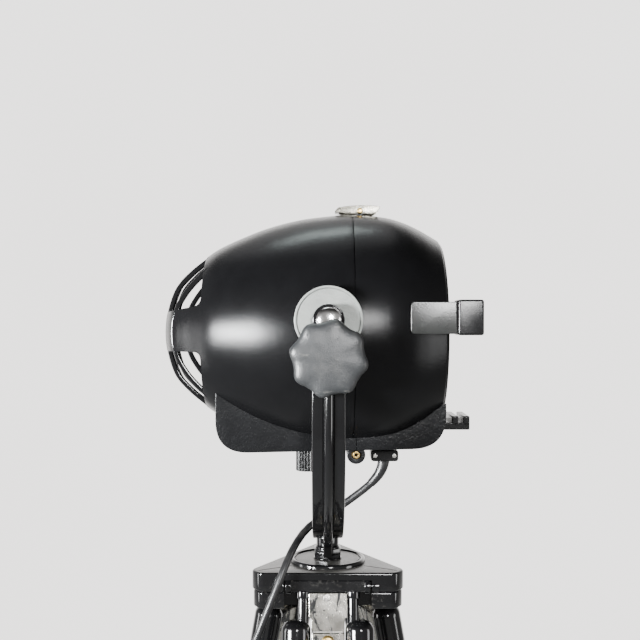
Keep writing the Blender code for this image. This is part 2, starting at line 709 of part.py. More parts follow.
def tripod_head():
    middle = HEAD_TOP_Z - HEAD_DEPTH / 2
    place = Matrix.Translation((0, 0, middle))
    head = plate("tripod_head", head_outline(HEAD_FLAT, HEAD_CORNER), HEAD_DEPTH, place)
    round_edges(head, 0.003)
    for name, direction in LEGS.items():
        turn = Matrix.Rotation(radians(direction + 90), 4, "Z")
        recess = block(f"hinge_recess_{name}", (-0.0455, -0.08, -0.32), (0.0455, -0.0355, HEAD_TOP_Z - HEAD_PLATE))
        recess.matrix_world = turn
        boolean(head, cutter(recess), solver="MANIFOLD")
        bore_ends = [(s * 0.0515, -LEG_HINGE_OUT, LEG_HINGE_Z) for s in (-1, 1)]
        pins = rod(f"hinge_bore_{name}", *bore_ends, 0.0034, 16)
        pins.matrix_world = turn
        boolean(head, cutter(pins), solver="MANIFOLD")
    bore = rod("head_bore", (0, 0, -0.25), (0, 0, -0.32), SPIGOT_RADIUS + 0.0004)
    boolean(head, cutter(bore), solver="MANIFOLD")
    finish(head, None, "gloss_black")
    top = HEAD_TOP_Z + GAP
    profile = [(SPIGOT_RADIUS + 0.0005, top + 0.0028), (0.0355, top + 0.0028), (0.0362, top + 0.0015)]
    profile += [(0.0382, top + 0.0030), (0.0402, top + 0.0018), (0.0405, top), (SPIGOT_RADIUS + 0.0005, top)]
    finish(turned("turntable_disc", profile, sides=28), None, "gloss_black")


def leg(name, direction):
    """One leg, built hanging down -Z from its hinge with its outside towards -Y, then turned into place."""
    turn = Matrix.Rotation(radians(direction + 90), 4, "Z")
    hinge = pivot_point() + turn @ Vector((0, -LEG_HINGE_OUT, LEG_HINGE_Z))
    frame = Matrix.Translation(hinge) @ turn @ Matrix.Rotation(-LEG_SPREAD, 4, "X")
    upper = joint_empty(f"leg_axis_{name}", hinge, None, turn @ Matrix.Rotation(-LEG_SPREAD, 4, "X"))
    bar = block(f"leg_hanger_{name}", (-0.044, -0.006, -0.006), (0.044, 0.006, 0.006), 0.001)
    hinge_pins = rod(f"hanger_pins_{name}", (-0.0505, 0, 0), (0.0505, 0, 0), 0.003, 16)
    boolean(bar, cutter(hinge_pins, frame), "UNION")
    for side in (-1, 1):
        across = side * ROD_APART
        arm = rod(f"hanger_rod_{name}_{side}", (across, 0, 0), (across, 0, -0.062), 0.00575, 12)
        boolean(bar, cutter(arm, frame), "UNION")
    finish(bar, upper, "gloss_black", frame)
    for label, side in (("a", -1), ("b", 1)):
        shoulder = [
            (RAIL_RADIUS - 0.010 + 0.010 * sin(pi / 2 * i / 4), -RAIL_TOP - 0.010 + 0.010 * cos(pi / 2 * i / 4))
            for i in range(5)
        ]
        profile = [(0, -RAIL_TOP)] + shoulder + [(RAIL_RADIUS, -RAIL_END), (0, -RAIL_END)]
        rail = turned(f"leg_rail_{name}_{label}", profile, centre=(side * RAIL_APART, 0, 0), sides=16, loop=False)
        socket_ends = [(side * ROD_APART, 0, z) for z in (-0.02, -0.0625)]
        socket = rod(f"rail_socket_{name}_{label}", *socket_ends, 0.0061, 12)
        boolean(rail, cutter(socket, frame))
        finish(rail, upper, "gloss_black", frame)
    outline = [(-0.0198, -0.0068), (-0.0198, -0.0315), (-0.0172, -0.0325), (-0.0172, -0.0452)]
    outline += [(-x, z) for x, z in reversed(outline)]
    cheek = plate(f"leg_plate_{name}", outline, 0.004, Matrix.Translation((0, -0.003, 0)) @ UPRIGHT)
    finish(cheek, upper, "worn_steel", frame)
    stay = block(f"leg_stay_{name}", (-0.0172, -0.0065, -0.094), (0.0172, 0.0065, -0.0456), 0.0008)
    stud = rod(f"stay_stud_{name}", (0, -0.005, -0.0551), (0, -0.0095, -0.0551), 0.0067)
    boolean(stay, cutter(stud, frame), "UNION")
    finish(stay, upper, "worn_steel", frame)
    bracket = block(f"leg_bracket_{name}", (-0.049, -0.0165, -BRACKET_END), (0.049, 0.0165, -RAIL_END - GAP), 0.003)
    bore = rod(f"bracket_tube_bore_{name}", (0, 0, -0.5), (0, 0, -0.65), TUBE_RADIUS + 0.0005)
    boolean(bracket, cutter(bore, frame))
    middle = -(RAIL_END + BRACKET_END) / 2
    bore = rod(f"bracket_screw_bore_{name}", (0, -0.03, middle), (0, 0, middle), 0.0044, 16)
    boolean(bracket, cutter(bore, frame))
    finish(bracket, upper, "gloss_black", frame)
    knob_axis = joint_empty(f"leg_knob_axis_{name}", frame @ Vector((0, -0.03, middle)), upper, turn)
    outline = []
    for i in range(30):
        angle = 2 * pi * i / 30
        radius = 0.0145 + 0.0022 * cos(5 * angle)
        outline.append((radius * cos(angle), radius * sin(angle)))
    knob = plate(f"leg_knob_{name}", outline, 0.012, Matrix.Translation((0, -0.0305, middle)) @ UPRIGHT)
    shank = rod(f"leg_knob_shank_{name}", (0, -0.030, middle), (0, -0.0122, middle), 0.004, 16)
    boolean(knob, cutter(shank, frame), "UNION")
    finish(knob, knob_axis, "base_black", frame)
    slide = joint_empty(f"leg_slide_{name}", frame @ Vector((0, 0, -0.6)), upper, turn)
    reach = (PIVOT_HEIGHT + LEG_HINGE_Z) / cos(LEG_SPREAD)
    tip = reach - 0.012
    tube_end = [(0, -TUBE_TOP), (TUBE_RADIUS, -TUBE_TOP), (TUBE_RADIUS, -tip), (0, -tip)]
    lower = turned(f"lower_leg_{name}", tube_end, sides=24, loop=False)
    finish(lower, slide, "polished", frame)
    foot_place = frame @ Vector((0, 0, -reach))
    upright = Matrix.Translation((foot_place.x, foot_place.y, 0)) @ turn
    profile = [(0, FOOT_HEIGHT), (0.0155, FOOT_HEIGHT), (FOOT_RADIUS, 0.008), (FOOT_RADIUS, 0), (0, 0)]
    foot = turned(f"foot_{name}", profile, sides=24, loop=False)
    socket = rod(f"foot_socket_{name}", (0, 0, -tip - GAP), (0, 0, -tip + 0.05), TUBE_RADIUS + GAP)
    boolean(foot, cutter(socket, frame))
    finish(foot, slide, "rubber", upright)


# ---------------------------------------------------------------- cord


def cord():
    """The cord hangs from its clamp, past the head, to a coil on the floor and its plug."""
    start = [CLAMP_EXIT] + mm(UPPER_ROUTE)
    upper = smooth_route([Vector(p) for p in start], 0.010)
    upper.insert(1, upper[0] + Vector((0, 0, -0.003)))
    finish(tube("cord_upper", upper, CORD_RADIUS), TILT, "rubber")
    onward = (upper[-1] - upper[-2]).normalized()
    joint = upper[-1] + onward * GAP
    east = COIL_CENTRE[0] + COIL_RADIUS
    top = COIL_HEIGHT + CORD_RADIUS + GAP - PIVOT_HEIGHT
    landing = [(east, COIL_CENTRE[1] + 0.022, top + 0.030), (east, COIL_CENTRE[1] + 0.002, top + 0.0045)]
    landing += [(east - 0.002, COIL_CENTRE[1] - 0.014, top)]
    straight = [joint, joint + onward * 0.005]
    drop = smooth_route(straight + [Vector(p) for p in mm(DROP_ROUTE) + landing], 0.0205)
    drop[0] = joint
    drop.insert(1, joint + onward * 0.004)
    finish(tube("cord_drop", drop, CORD_RADIUS), None, "rubber")
    floor = Matrix.Translation((0, PAN_AXIS_Y, 0))
    low, high = COIL_RADIUS - COIL_HALF_WIDTH, COIL_RADIUS + COIL_HALF_WIDTH
    profile = [(low + 0.003, COIL_HEIGHT), (high - 0.003, COIL_HEIGHT), (high, COIL_HEIGHT - 0.004)]
    profile += [(high, 0.004), (high - 0.003, 0), (low + 0.003, 0), (low, 0.004), (low, COIL_HEIGHT - 0.004)]
    coil = turned("cord_coil", profile, centre=(*COIL_CENTRE, 0), sides=24)
    finish(coil, None, "rubber", floor)
    # The plug lies on the floor where the lowest turn leaves the coil, towards -X.
    y = COIL_CENTRE[1] - COIL_RADIUS - 0.002
    x = COIL_CENTRE[0] - 0.036
    boot = rod("plug", (x, y, 0.0125), (x - 0.022, y, 0.0125), 0.0055, 20)
    body = block("plug_body", (x - 0.060, y - 0.018, 0.0004), (x - 0.020, y + 0.018, 0.0246), 0.004)
    boolean(boot, cutter(body, floor), "UNION")
    for number, offset in enumerate((-0.0095, 0.0095)):
        root, tip = (x - 0.058, y + offset, 0.0125), (x - 0.079, y + offset, 0.0125)
        pin = rod(f"plug_pin_{number}", root, tip, 0.0024, 12)
        boolean(boot, cutter(pin, floor), "UNION")
    finish(boot, None, "rubber", floor)


def main():
    front_shell()
    rear_shell()
    base_boxes()
    lens_and_ring()
    colour_frame_runners()
    catch()
    cord_clamp()
    lamp_tray()
    pivots()
    yoke()
    tripod_head()
    for name, direction in LEGS.items():
        leg(name, direction)
    cord()


main()
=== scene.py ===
# %% [markdown]
# # A theatre spotlight on a tripod
#
# The lamp is an egg-shaped theatre spotlight, cast in two halves, in a yoke on a black tripod. Its frame,
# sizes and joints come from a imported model. This lesson makes the surfaces that are seen: castings with a
# fine grain, gloss enamel with chips, worn nickel, brass, glass and a rubber cord. Each piece is made where
# its frame solid lies, and rides on that solid's body, so that it moves as the real piece does.

# %% Load the frame
from math import atan, cos, pi, radians, sin, sqrt

import bmesh
import bpy
from mathutils import Matrix, Vector


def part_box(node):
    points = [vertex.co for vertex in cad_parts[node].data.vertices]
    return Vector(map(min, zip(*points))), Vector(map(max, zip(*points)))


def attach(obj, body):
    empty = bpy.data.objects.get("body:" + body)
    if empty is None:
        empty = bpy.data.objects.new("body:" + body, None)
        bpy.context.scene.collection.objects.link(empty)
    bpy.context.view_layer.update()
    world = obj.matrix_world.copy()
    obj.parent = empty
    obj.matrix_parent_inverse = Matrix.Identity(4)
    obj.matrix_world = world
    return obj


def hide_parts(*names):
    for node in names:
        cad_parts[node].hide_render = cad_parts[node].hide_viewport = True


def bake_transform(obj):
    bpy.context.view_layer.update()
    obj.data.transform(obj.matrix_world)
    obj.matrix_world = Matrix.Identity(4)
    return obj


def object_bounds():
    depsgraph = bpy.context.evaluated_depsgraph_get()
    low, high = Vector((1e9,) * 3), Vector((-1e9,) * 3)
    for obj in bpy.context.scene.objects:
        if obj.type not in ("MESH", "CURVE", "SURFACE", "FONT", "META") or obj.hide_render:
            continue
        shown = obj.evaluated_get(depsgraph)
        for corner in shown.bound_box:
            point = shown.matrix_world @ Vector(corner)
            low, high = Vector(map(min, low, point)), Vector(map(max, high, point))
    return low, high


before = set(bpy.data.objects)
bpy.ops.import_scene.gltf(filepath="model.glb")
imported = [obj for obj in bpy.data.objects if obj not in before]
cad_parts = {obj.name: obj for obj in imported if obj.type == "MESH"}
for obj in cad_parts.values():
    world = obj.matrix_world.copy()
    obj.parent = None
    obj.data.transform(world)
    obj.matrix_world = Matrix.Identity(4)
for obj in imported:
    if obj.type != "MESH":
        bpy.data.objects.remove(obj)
cad_low, cad_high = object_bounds()
print("frame box", [round(v, 3) for v in (cad_high - cad_low)])

# %% [markdown]
# ## Where the lamp stands
#
# The tilt pivot is the natural zero for everything on the lamp. The frame gives it: the near pivot bolt has
# its axis on the pivot, and the turntable disc has its centre on the pan axis. Lamp sizes are then written
# from the pivot in metres, and one matrix moves them into place.

# %% The pivot point
bolt_low, bolt_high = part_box("pivot_bolt_near")
disc_low, disc_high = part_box("turntable_disc")
PIVOT = Vector(((disc_low.x + disc_high.x) / 2, (disc_low.y + disc_high.y) / 2,
                (bolt_low.z + bolt_high.z) / 2))
FROM_PIVOT = Matrix.Translation(PIVOT)
print("pivot", [round(v, 4) for v in PIVOT])

# %% [markdown]
# ## The camera
#
# The camera stands level with the pivot, about a metre away on the -Y side, so the whole lamp is seen in
# pure side view and the tripod's head just below it. A lens a little longer than normal keeps the yoke
# upright.

# %% Camera
SENSOR, FOCAL_LENGTH, CAMERA_PLACE = 36, 53.4, Vector((-0.0082, -1.035, 0))
camera_data = bpy.data.cameras.new("camera")
camera_data.sensor_width = SENSOR
camera_data.lens = FOCAL_LENGTH
camera = bpy.data.objects.new("camera", camera_data)
camera.location = PIVOT + CAMERA_PLACE
camera.rotation_euler = (pi / 2, 0, 0)
bpy.context.scene.collection.objects.link(camera)
bpy.context.scene.camera = camera
print("field of view", round(2 * atan(SENSOR / 2 / FOCAL_LENGTH) * 180 / pi, 1), "degrees")

# %% [markdown]
# ## Tools for making meshes
#
# Most pieces of a lamp are turned, bent from strip, or cut from plate and rounded. Five small helpers cover
# them: `lathe` spins a profile, `sweep` carries a section along a path, `slab` thickens an outline, `brick`
# is a block and `bar` a round rod. Corners are rounded with arcs in the outline itself, because a real edge
# is never sharp and the small arc is what catches the light.

# %% Link, round and measure
PIECES = bpy.data.collections.new("lamp_pieces")
bpy.context.scene.collection.children.link(PIECES)


def from_bmesh(name, bm, sharp=40):
    """A linked object from a bmesh, with its faces turned outwards and smooth up to an angle."""
    bmesh.ops.recalc_face_normals(bm, faces=bm.faces)
    mesh = bpy.data.meshes.new(name)
    bm.to_mesh(mesh)
    bm.free()
    mesh.shade_smooth()
    mesh.set_sharp_from_angle(angle=radians(sharp))
    obj = bpy.data.objects.new(name, mesh)
    PIECES.objects.link(obj)
    return obj


def fillet(points, radius, closed=True, steps=4):
    """A polyline with its corners rounded. A point may carry its own radius as a third number."""
    found = []
    count = len(points)
    for i, point in enumerate(points):
        here = Vector(point[:2])
        if not closed and i in (0, count - 1):
            found.append(tuple(here))
            continue
        before, after = Vector(points[i - 1][:2]), Vector(points[(i + 1) % count][:2])
        wanted = point[2] if len(point) > 2 else radius
        reach = min(wanted, (before - here).length * 0.49, (after - here).length * 0.49)
        if reach < 1e-5:
            found.append(tuple(here))
            continue
        start = here + (before - here).normalized() * reach
        end = here + (after - here).normalized() * reach
        for k in range(steps + 1):
            t = k / steps
            found.append(tuple(start * (1 - t) ** 2 + here * 2 * t * (1 - t) + end * t**2))
    return found


# %% Lathe
ALONG = {"X": Matrix.Rotation(pi / 2, 4, "Y"), "Y": Matrix.Rotation(-pi / 2, 4, "X"), "Z": Matrix()}


def lathe(name, profile, axis="Z", centre=(0, 0, 0), sides=96, closed=False, flip=False):
    """Spins (radius, height) points round an axis. A closed profile makes a ring."""
    bm = bmesh.new()
    rows = []
    for radius, height in profile:
        if radius < 1e-6:
            rows.append([bm.verts.new((0, 0, height))])
        else:
            angles = [2 * pi * i / sides for i in range(sides)]
            rows.append([bm.verts.new((radius * cos(a), radius * sin(a), height)) for a in angles])
    pairs = list(zip(rows, rows[1:])) + ([(rows[-1], rows[0])] if closed else [])
    for upper, lower in pairs:
        for i in range(sides):
            j = (i + 1) % sides
            corners = [upper[i % len(upper)], upper[j % len(upper)], lower[j % len(lower)],
                       lower[i % len(lower)]]
            corners = list(dict.fromkeys(corners))
            if len(corners) > 2:
                bm.faces.new(corners)
    turn = ALONG[axis] @ (Matrix.Rotation(pi, 4, "X") if flip else Matrix())
    bmesh.ops.transform(bm, matrix=Matrix.Translation(centre) @ turn, verts=bm.verts)
    return from_bmesh(name, bm)


# %% Sweep, slab and brick
def sweep(name, path, section_at, closed=False):
    """Carries a section along a path: section_at(i) gives the section's points, in space, at path point i."""
    bm = bmesh.new()
    rows = [[bm.verts.new(p) for p in section_at(i)] for i in range(len(path))]
    pairs = list(zip(rows, rows[1:])) + ([(rows[-1], rows[0])] if closed else [])
    for a, b in pairs:
        for i in range(len(a)):
            j = (i + 1) % len(a)
            bm.faces.new((a[i], a[j], b[j], b[i]))
    if not closed:
        bm.faces.new(list(reversed(rows[0])))
        bm.faces.new(rows[-1])
    return from_bmesh(name, bm)


def round_off(obj, width, segments=3, angle=40):
    """Rounds an object's sharp edges with a Bevel modifier."""
    soften = obj.modifiers.new("rounding", "BEVEL")
    soften.width = width
    soften.segments = segments
    soften.limit_method = "ANGLE"
    soften.angle_limit = radians(angle)
    soften.harden_normals = False
    return obj


def slab(name, outline, thickness, turn=None, edge=0.0, segments=3):
    """A plate cut to an outline in its own XY plane, then turned and placed by a matrix."""
    bm = bmesh.new()
    face = bm.faces.new([bm.verts.new((x, y, -thickness / 2)) for x, y in outline])
    made = bmesh.ops.extrude_face_region(bm, geom=[face])
    raised = [v for v in made["geom"] if isinstance(v, bmesh.types.BMVert)]
    bmesh.ops.translate(bm, vec=(0, 0, thickness), verts=raised)
    bmesh.ops.transform(bm, matrix=turn or Matrix(), verts=bm.verts)
    obj = from_bmesh(name, bm)
    return baked(round_off(obj, edge, segments, 50)) if edge else obj


def brick(name, low, high, edge=0.001, segments=3):
    """A block between two corners, with rounded edges."""
    bm = bmesh.new()
    bmesh.ops.create_cube(bm, size=1)
    bmesh.ops.scale(bm, vec=[abs(b - a) for a, b in zip(low, high)], verts=bm.verts)
    bmesh.ops.translate(bm, vec=[(a + b) / 2 for a, b in zip(low, high)], verts=bm.verts)
    obj = from_bmesh(name, bm)
    return baked(round_off(obj, edge, segments)) if edge else obj


def bar(name, start, end, radius, edge=0.0006, sides=48):
    """A round bar between two points, with its ends rounded."""
    along = Vector(end) - Vector(start)
    half = along.length / 2
    profile = [(0, half)] + fillet([(0, half), (radius, half), (radius, -half), (0, -half)], edge, False)[1:]
    obj = lathe(name, profile, sides=sides)
    turn = along.to_track_quat("Z", "Y").to_matrix().to_4x4()
    obj.data.transform(Matrix.Translation((Vector(start) + Vector(end)) / 2) @ turn)
    return obj


# %% Bake, cut and join
def baked(obj):
    """The object with its modifiers applied."""
    graph = bpy.context.evaluated_depsgraph_get()
    mesh = bpy.data.meshes.new_from_object(obj.evaluated_get(graph))
    obj.modifiers.clear()
    old = obj.data
    obj.data = mesh
    bpy.data.meshes.remove(old)
    mesh.name = obj.name
    return obj


def cut(obj, *others, operation="DIFFERENCE", sharp=40):
    """Cuts, joins or intersects solids with Booleans, and removes the tools."""
    for other in others:
        step = obj.modifiers.new("cut", "BOOLEAN")
        step.object = other
        step.operation = operation
        step.solver = "EXACT"
        baked(obj)
        bpy.data.objects.remove(other)
    obj.data.shade_smooth()
    obj.data.set_sharp_from_angle(angle=radians(sharp))
    return obj


def joined(name, pieces):
    """Several meshes as one object. Each keeps its own material."""
    keep = pieces[0]
    with bpy.context.temp_override(
        active_object=keep, object=keep, selected_objects=pieces, selected_editable_objects=pieces
    ):
        bpy.ops.object.join()
    keep.name = name
    return keep


def painted(obj, material):
    obj.data.materials.clear()
    obj.data.materials.append(material)
    return obj


placed = []


def fit(obj, body, slot, *nodes, frame_matrix=FROM_PIVOT):
    """Moves a finished piece from its own frame to its place, and hangs it on its body."""
    obj.data.transform(frame_matrix)
    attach(obj, body)
    if nodes:
        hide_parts(*nodes)
    placed.append(obj.name)
    return obj


print("tools ready")

# %% [markdown]
# ## Finishes
#
# Every finish on this lamp is a coat with two scales of unevenness: a fine grain, and a broad waviness that
# breaks up reflections. Wear is a noise that is only let through near edges, found with the Pointiness of
# the mesh, or in patches. One builder takes those as arguments, and each finish calls it with its own
# values.

# %% Node helpers
def new_material(name):
    material = bpy.data.materials.new(name)
    material.use_nodes = True
    nodes, links = material.node_tree.nodes, material.node_tree.links
    return material, nodes, links, nodes["Principled BSDF"]


def noise(nodes, links, where, scale, detail=4.0, rough=0.55, distortion=0.0):
    texture = nodes.new("ShaderNodeTexNoise")
    texture.inputs["Scale"].default_value = scale
    texture.inputs["Detail"].default_value = detail
    texture.inputs["Roughness"].default_value = rough
    texture.inputs["Distortion"].default_value = distortion
    links.new(where, texture.inputs["Vector"])
    return texture.outputs["Fac"]


def ramp(nodes, links, value, stops):
    """A colour ramp. Stops are (position, grey or colour)."""
    made = nodes.new("ShaderNodeValToRGB")
    while len(made.color_ramp.elements) < len(stops):
        made.color_ramp.elements.new(0.5)
    for element, (position, colour) in zip(made.color_ramp.elements, stops):
        element.position = position
        element.color = (*colour, 1) if isinstance(colour, tuple) else (colour, colour, colour, 1)
    links.new(value, made.inputs["Fac"])
    return made.outputs["Color"]


def maths(nodes, links, operation, a, b):
    made = nodes.new("ShaderNodeMath")
    made.operation = operation
    for socket, value in zip(made.inputs, (a, b)):
        if isinstance(value, (int, float)):
            socket.default_value = value
        else:
            links.new(value, socket)
    return made.outputs["Value"]


def mix(nodes, links, share, a, b):
    """A colour mix. a and b are colours or sockets."""
    made = nodes.new("ShaderNodeMix")
    made.data_type = "RGBA"
    links.new(share, made.inputs["Factor"])
    for socket, value in ((made.inputs["A"], a), (made.inputs["B"], b)):
        if isinstance(value, tuple):
            socket.default_value = (*value, 1)
        else:
            links.new(value, socket)
    return made.outputs["Result"]


def bumped(nodes, links, shader, layers):
    """Stacks bump layers, each (height socket, depth in metres, strength)."""
    normal = None
    for height, depth, strength in layers:
        made = nodes.new("ShaderNodeBump")
        made.inputs["Distance"].default_value = depth
        made.inputs["Strength"].default_value = strength
        links.new(height, made.inputs["Height"])
        if normal:
            links.new(normal, made.inputs["Normal"])
        normal = made.outputs["Normal"]
    links.new(normal, shader.inputs["Normal"])


def coordinates(nodes):
    return nodes.new("ShaderNodeTexCoord").outputs["Object"]


# %% A worn coat
def coat(name, colour, roughness, grain, wave, dust=0.0, chips=0.0, bare=(0.30, 0.29, 0.27), metallic=0.0,
         streak=None, clear=0.0, shine=0.5, uneven=0.05):
    """Paint or metal. grain and wave are (scale, depth); dust, chips and streak are kinds of wear."""
    material, nodes, links, shader = new_material(name)
    where = coordinates(nodes)
    fine = noise(nodes, links, where, grain[0], 3.0, 0.6)
    broad = noise(nodes, links, where, wave[0], 4.0, 0.5)
    patchy = noise(nodes, links, where, wave[0] * 0.35 + 6, 8.0, 0.62, 0.3)
    tint = mix(nodes, links, ramp(nodes, links, patchy, [(0.35, 0.0), (0.75, 1.0)]), colour,
               tuple(min(c * 1.35 + dust * 0.02, 1) for c in colour))
    if dust:
        settled = ramp(nodes, links, noise(nodes, links, where, 55, 10, 0.7), [(0.5, 0.0), (0.78, dust)])
        tint = mix(nodes, links, settled, tint, (0.23, 0.22, 0.20))
    rough = ramp(nodes, links, patchy, [(0.3, max(roughness - uneven, 0.03)),
        (0.7, min(roughness + uneven, 1))])
    if streak:
        stretched = nodes.new("ShaderNodeMapping")
        stretched.inputs["Scale"].default_value = streak
        links.new(where, stretched.inputs["Vector"])
        lines = noise(nodes, links, stretched.outputs["Vector"], 60, 5, 0.7)
        marks = ramp(nodes, links, lines, [(0.60, 0.0), (0.68, 0.6)])
        rough = mix(nodes, links, marks, rough, (roughness * 0.5,) * 3)
        tint = mix(nodes, links, maths(nodes, links, "MULTIPLY", marks, 0.35), tint, bare)
    if chips:
        point = nodes.new("ShaderNodeNewGeometry").outputs["Pointiness"]
        edge = ramp(nodes, links, point, [(0.53, 0.0), (0.60, 1.0)])
        broken = ramp(nodes, links, noise(nodes, links, where, 210, 6, 0.7), [(0.56, 0.0), (0.60, 1.0)])
        spots = ramp(nodes, links, noise(nodes, links, where, 140, 9, 0.75), [(0.70, 0.0), (0.72, 1.0)])
        worn = maths(nodes, links, "MULTIPLY", edge, broken)
        worn = maths(nodes, links, "MAXIMUM", worn, maths(nodes, links, "MULTIPLY", spots, 0.6))
        worn = maths(nodes, links, "MULTIPLY", worn, chips)
        tint = mix(nodes, links, worn, tint, bare)
        rough = mix(nodes, links, worn, rough, (0.55, 0.55, 0.55))
    links.new(tint, shader.inputs["Base Color"])
    links.new(rough, shader.inputs["Roughness"])
    shader.inputs["Metallic"].default_value = metallic
    shader.inputs["Coat Weight"].default_value = clear
    shader.inputs["Specular IOR Level"].default_value = shine
    shader.inputs["Coat Roughness"].default_value = 0.06
    bumped(nodes, links, shader, [(broad, wave[1], 0.6), (fine, grain[1], 0.7)])
    return material


HOUSING = coat("housing_black", (0.0030, 0.0030, 0.0033), 0.225, (850, 0.00017), (60, 0.00008), shine=0.17,
               uneven=0.012)
ROUGH_CAST = coat("rough_cast_black", (0.0035, 0.0036, 0.0040), 0.27, (420, 0.0004), (170, 0.0005),
                  shine=0.27, uneven=0.02)
SMOOTH_CAST = coat("smooth_cast_black", (0.0045, 0.0045, 0.0048), 0.24, (800, 0.0001), (90, 0.0001),
                   shine=0.34, uneven=0.02)
GLOSS = coat("gloss_enamel", (0.0030, 0.0030, 0.0033), 0.09, (1200, 0.00002), (60, 0.0001), clear=0.3,
             shine=0.45,
             uneven=0.02)
WORN_GLOSS = coat("worn_enamel", (0.0035, 0.0035, 0.0038), 0.11, (1200, 0.00004), (60, 0.0002), chips=0.22,
                  bare=(0.20, 0.19, 0.17), clear=0.3, shine=0.45)
KNOB = coat("knob_grey", (0.017, 0.018, 0.019), 0.38, (900, 0.00025), (110, 0.0004), dust=0.10,
            streak=(0.5, 1.0, 2.4))
print("paints", len(bpy.data.materials))

# %% [markdown]
# ## The rubber cord
#
# A mains lead is a tube of one diameter along one smooth curve, so it could be a bevelled Curve. A mesh
# tube is used here, built in place. It crosses where the lamp tilts and where the yoke turns. A Catmull-Rom
# curve through a few points gives the route: slanting down from the clamp, behind the yoke's arm, past the
# head and down to a coil on the floor.

# %% A smooth route
CORD_RADIUS = 0.004


def smooth_route(points, step):
    """Points every step along a Catmull-Rom curve through the given points."""
    points = [Vector(p) for p in points]
    ends = [2 * points[0] - points[1]] + points + [2 * points[-1] - points[-2]]
    dense = []
    for a, b, c, d in zip(ends, ends[1:], ends[2:], ends[3:]):
        for i in range(24):
            t = i / 24
            dense.append(0.5 * (2 * b + (c - a) * t + (2 * a - 5 * b + 4 * c - d) * t**2
                                + (3 * b - a - 3 * c + d) * t**3))
    dense.append(points[-1])
    length = sum((b - a).length for a, b in zip(dense, dense[1:]))
    count = max(2, round(length / step))
    found, walked, wanted = [dense[0]], 0.0, length / count
    for a, b in zip(dense, dense[1:]):
        piece = (b - a).length
        while piece and walked + piece >= wanted - 1e-9 and len(found) < count:
            found.append(a.lerp(b, (wanted - walked) / piece))
            wanted += length / count
        walked += piece
    return found + [dense[-1]]


def route_length(points):
    return sum((Vector(b) - Vector(a)).length for a, b in zip(points, points[1:]))


def frames(points):
    """A twist-free (side, up, tangent) frame at each point of a path."""
    found, side = [], None
    for i, point in enumerate(points):
        tangent = (points[min(i + 1, len(points) - 1)] - points[max(i - 1, 0)]).normalized()
        if side is None:
            side = tangent.orthogonal().normalized()
        side = (side - tangent * side.dot(tangent)).normalized()
        found.append((side, tangent.cross(side), tangent))
    return found


def round_tube(name, points, radius_at, sides=20):
    """A tube along a path. radius_at is a radius, or a list with one radius for each point."""
    points = [Vector(p) for p in points]
    axes = frames(points)
    radii = radius_at if isinstance(radius_at, list) else [radius_at] * len(points)

    def section(i):
        side, up, _ = axes[i]
        return [points[i] + (side * cos(2 * pi * k / sides) + up * sin(2 * pi * k / sides)) * radii[i]
                for k in range(sides)]

    return sweep(name, points, section)


def mm(*points):
    return [Vector(p) / 1000 for p in points]


# %% The upper stretch: from the clamp to the yoke
CLAMP_EXIT = Vector((0.060, -0.020, -0.1503))
upper_points = mm((58, -20, -158), (53, -19.5, -167), (41.5, -18.5, -179), (18, -16, -197), (0, -18, -208))
upper_route = smooth_route([CLAMP_EXIT] + upper_points, 0.004)
cord_upper = round_tube("supply_cord_upper", [PIVOT + p for p in upper_route], CORD_RADIUS)
print("upper stretch", round(route_length(upper_route), 3), "m in", len(upper_route), "points")

# %% [markdown]
# ## The drop and the coil
#
# Below the yoke the cord hangs by its own weight and reaches the floor, where the spare length is wound
# into a neat coil. The coil is a flat spiral inwards, a small climb, and a spiral outwards on top of it,
# and so on. The pitch is one diameter and a little more, so the turns touch without passing into each
# other.

# %% The coil's turns
COIL_CENTRE = Vector((-0.142, -0.084, 0))
FLOOR = -PIVOT.z
TURN_PITCH, LAYER, TURN_STEPS = 0.0083, 0.0082, 40
LAYERS, LAYER_TURNS, CLIMB_TURNS = 3, 1.59, 0.22
turns, radius = [], 0.035
for layer in range(LAYERS):
    outward = 1 if layer % 2 == 0 else -1
    height = CORD_RADIUS + (LAYERS - 1 - layer) * LAYER
    steps = round(TURN_STEPS * LAYER_TURNS)
    climb = round(TURN_STEPS * CLIMB_TURNS) if layer < LAYERS - 1 else 0
    for i in range(steps + climb):
        share = max(0, i - steps) / max(climb, 1)
        turns.append((radius, height - LAYER * share))
        radius += outward * TURN_PITCH / TURN_STEPS
START_ANGLE = -pi / 2 + 2 * pi * (len(turns) - 1) / TURN_STEPS
coil_route = []
for i, (radius, height) in enumerate(turns):
    angle = START_ANGLE - 2 * pi * i / TURN_STEPS
    coil_route.append(COIL_CENTRE + Vector((radius * cos(angle), radius * sin(angle), FLOOR + height)))
print("coil", round(route_length(coil_route), 3), "m in", round(len(turns) / TURN_STEPS, 1), "turns, from",
      [round(v, 3) for v in coil_route[0]], "to", [round(v, 3) for v in coil_route[-1]])

# %% The drop and the tail
onward = (upper_route[-1] - upper_route[-2]).normalized()
drop_points = mm((-18, -25, -218.5), (-28, -36, -227), (-38, -52, -240.5), (-45.5, -63, -256),
                 (-52, -67, -273),
                 (-59, -70, -290), (-67, -71, -310), (-74, -72, -330), (-86, -74, -400), (-92, -75, -560),
                 (-93, -70, -800), (-94, -58, -1040), (-96, -52, -1190))
arriving = (coil_route[0] - coil_route[1]).normalized()
landing = [coil_route[0] + arriving * 0.055 + Vector((0, 0, 0.052)),
           coil_route[0] + arriving * 0.026 + Vector((0, 0, 0.012))]
hanging = [upper_route[-1], upper_route[-1] + onward * 0.006] + drop_points + landing + coil_route[:1]
drop_route = smooth_route(hanging, 0.012)
leaving = coil_route[-1]
PLUG_HEIGHT = 0.0125
BOOT = Vector((COIL_CENTRE.x - 0.036, leaving.y, FLOOR + PLUG_HEIGHT))
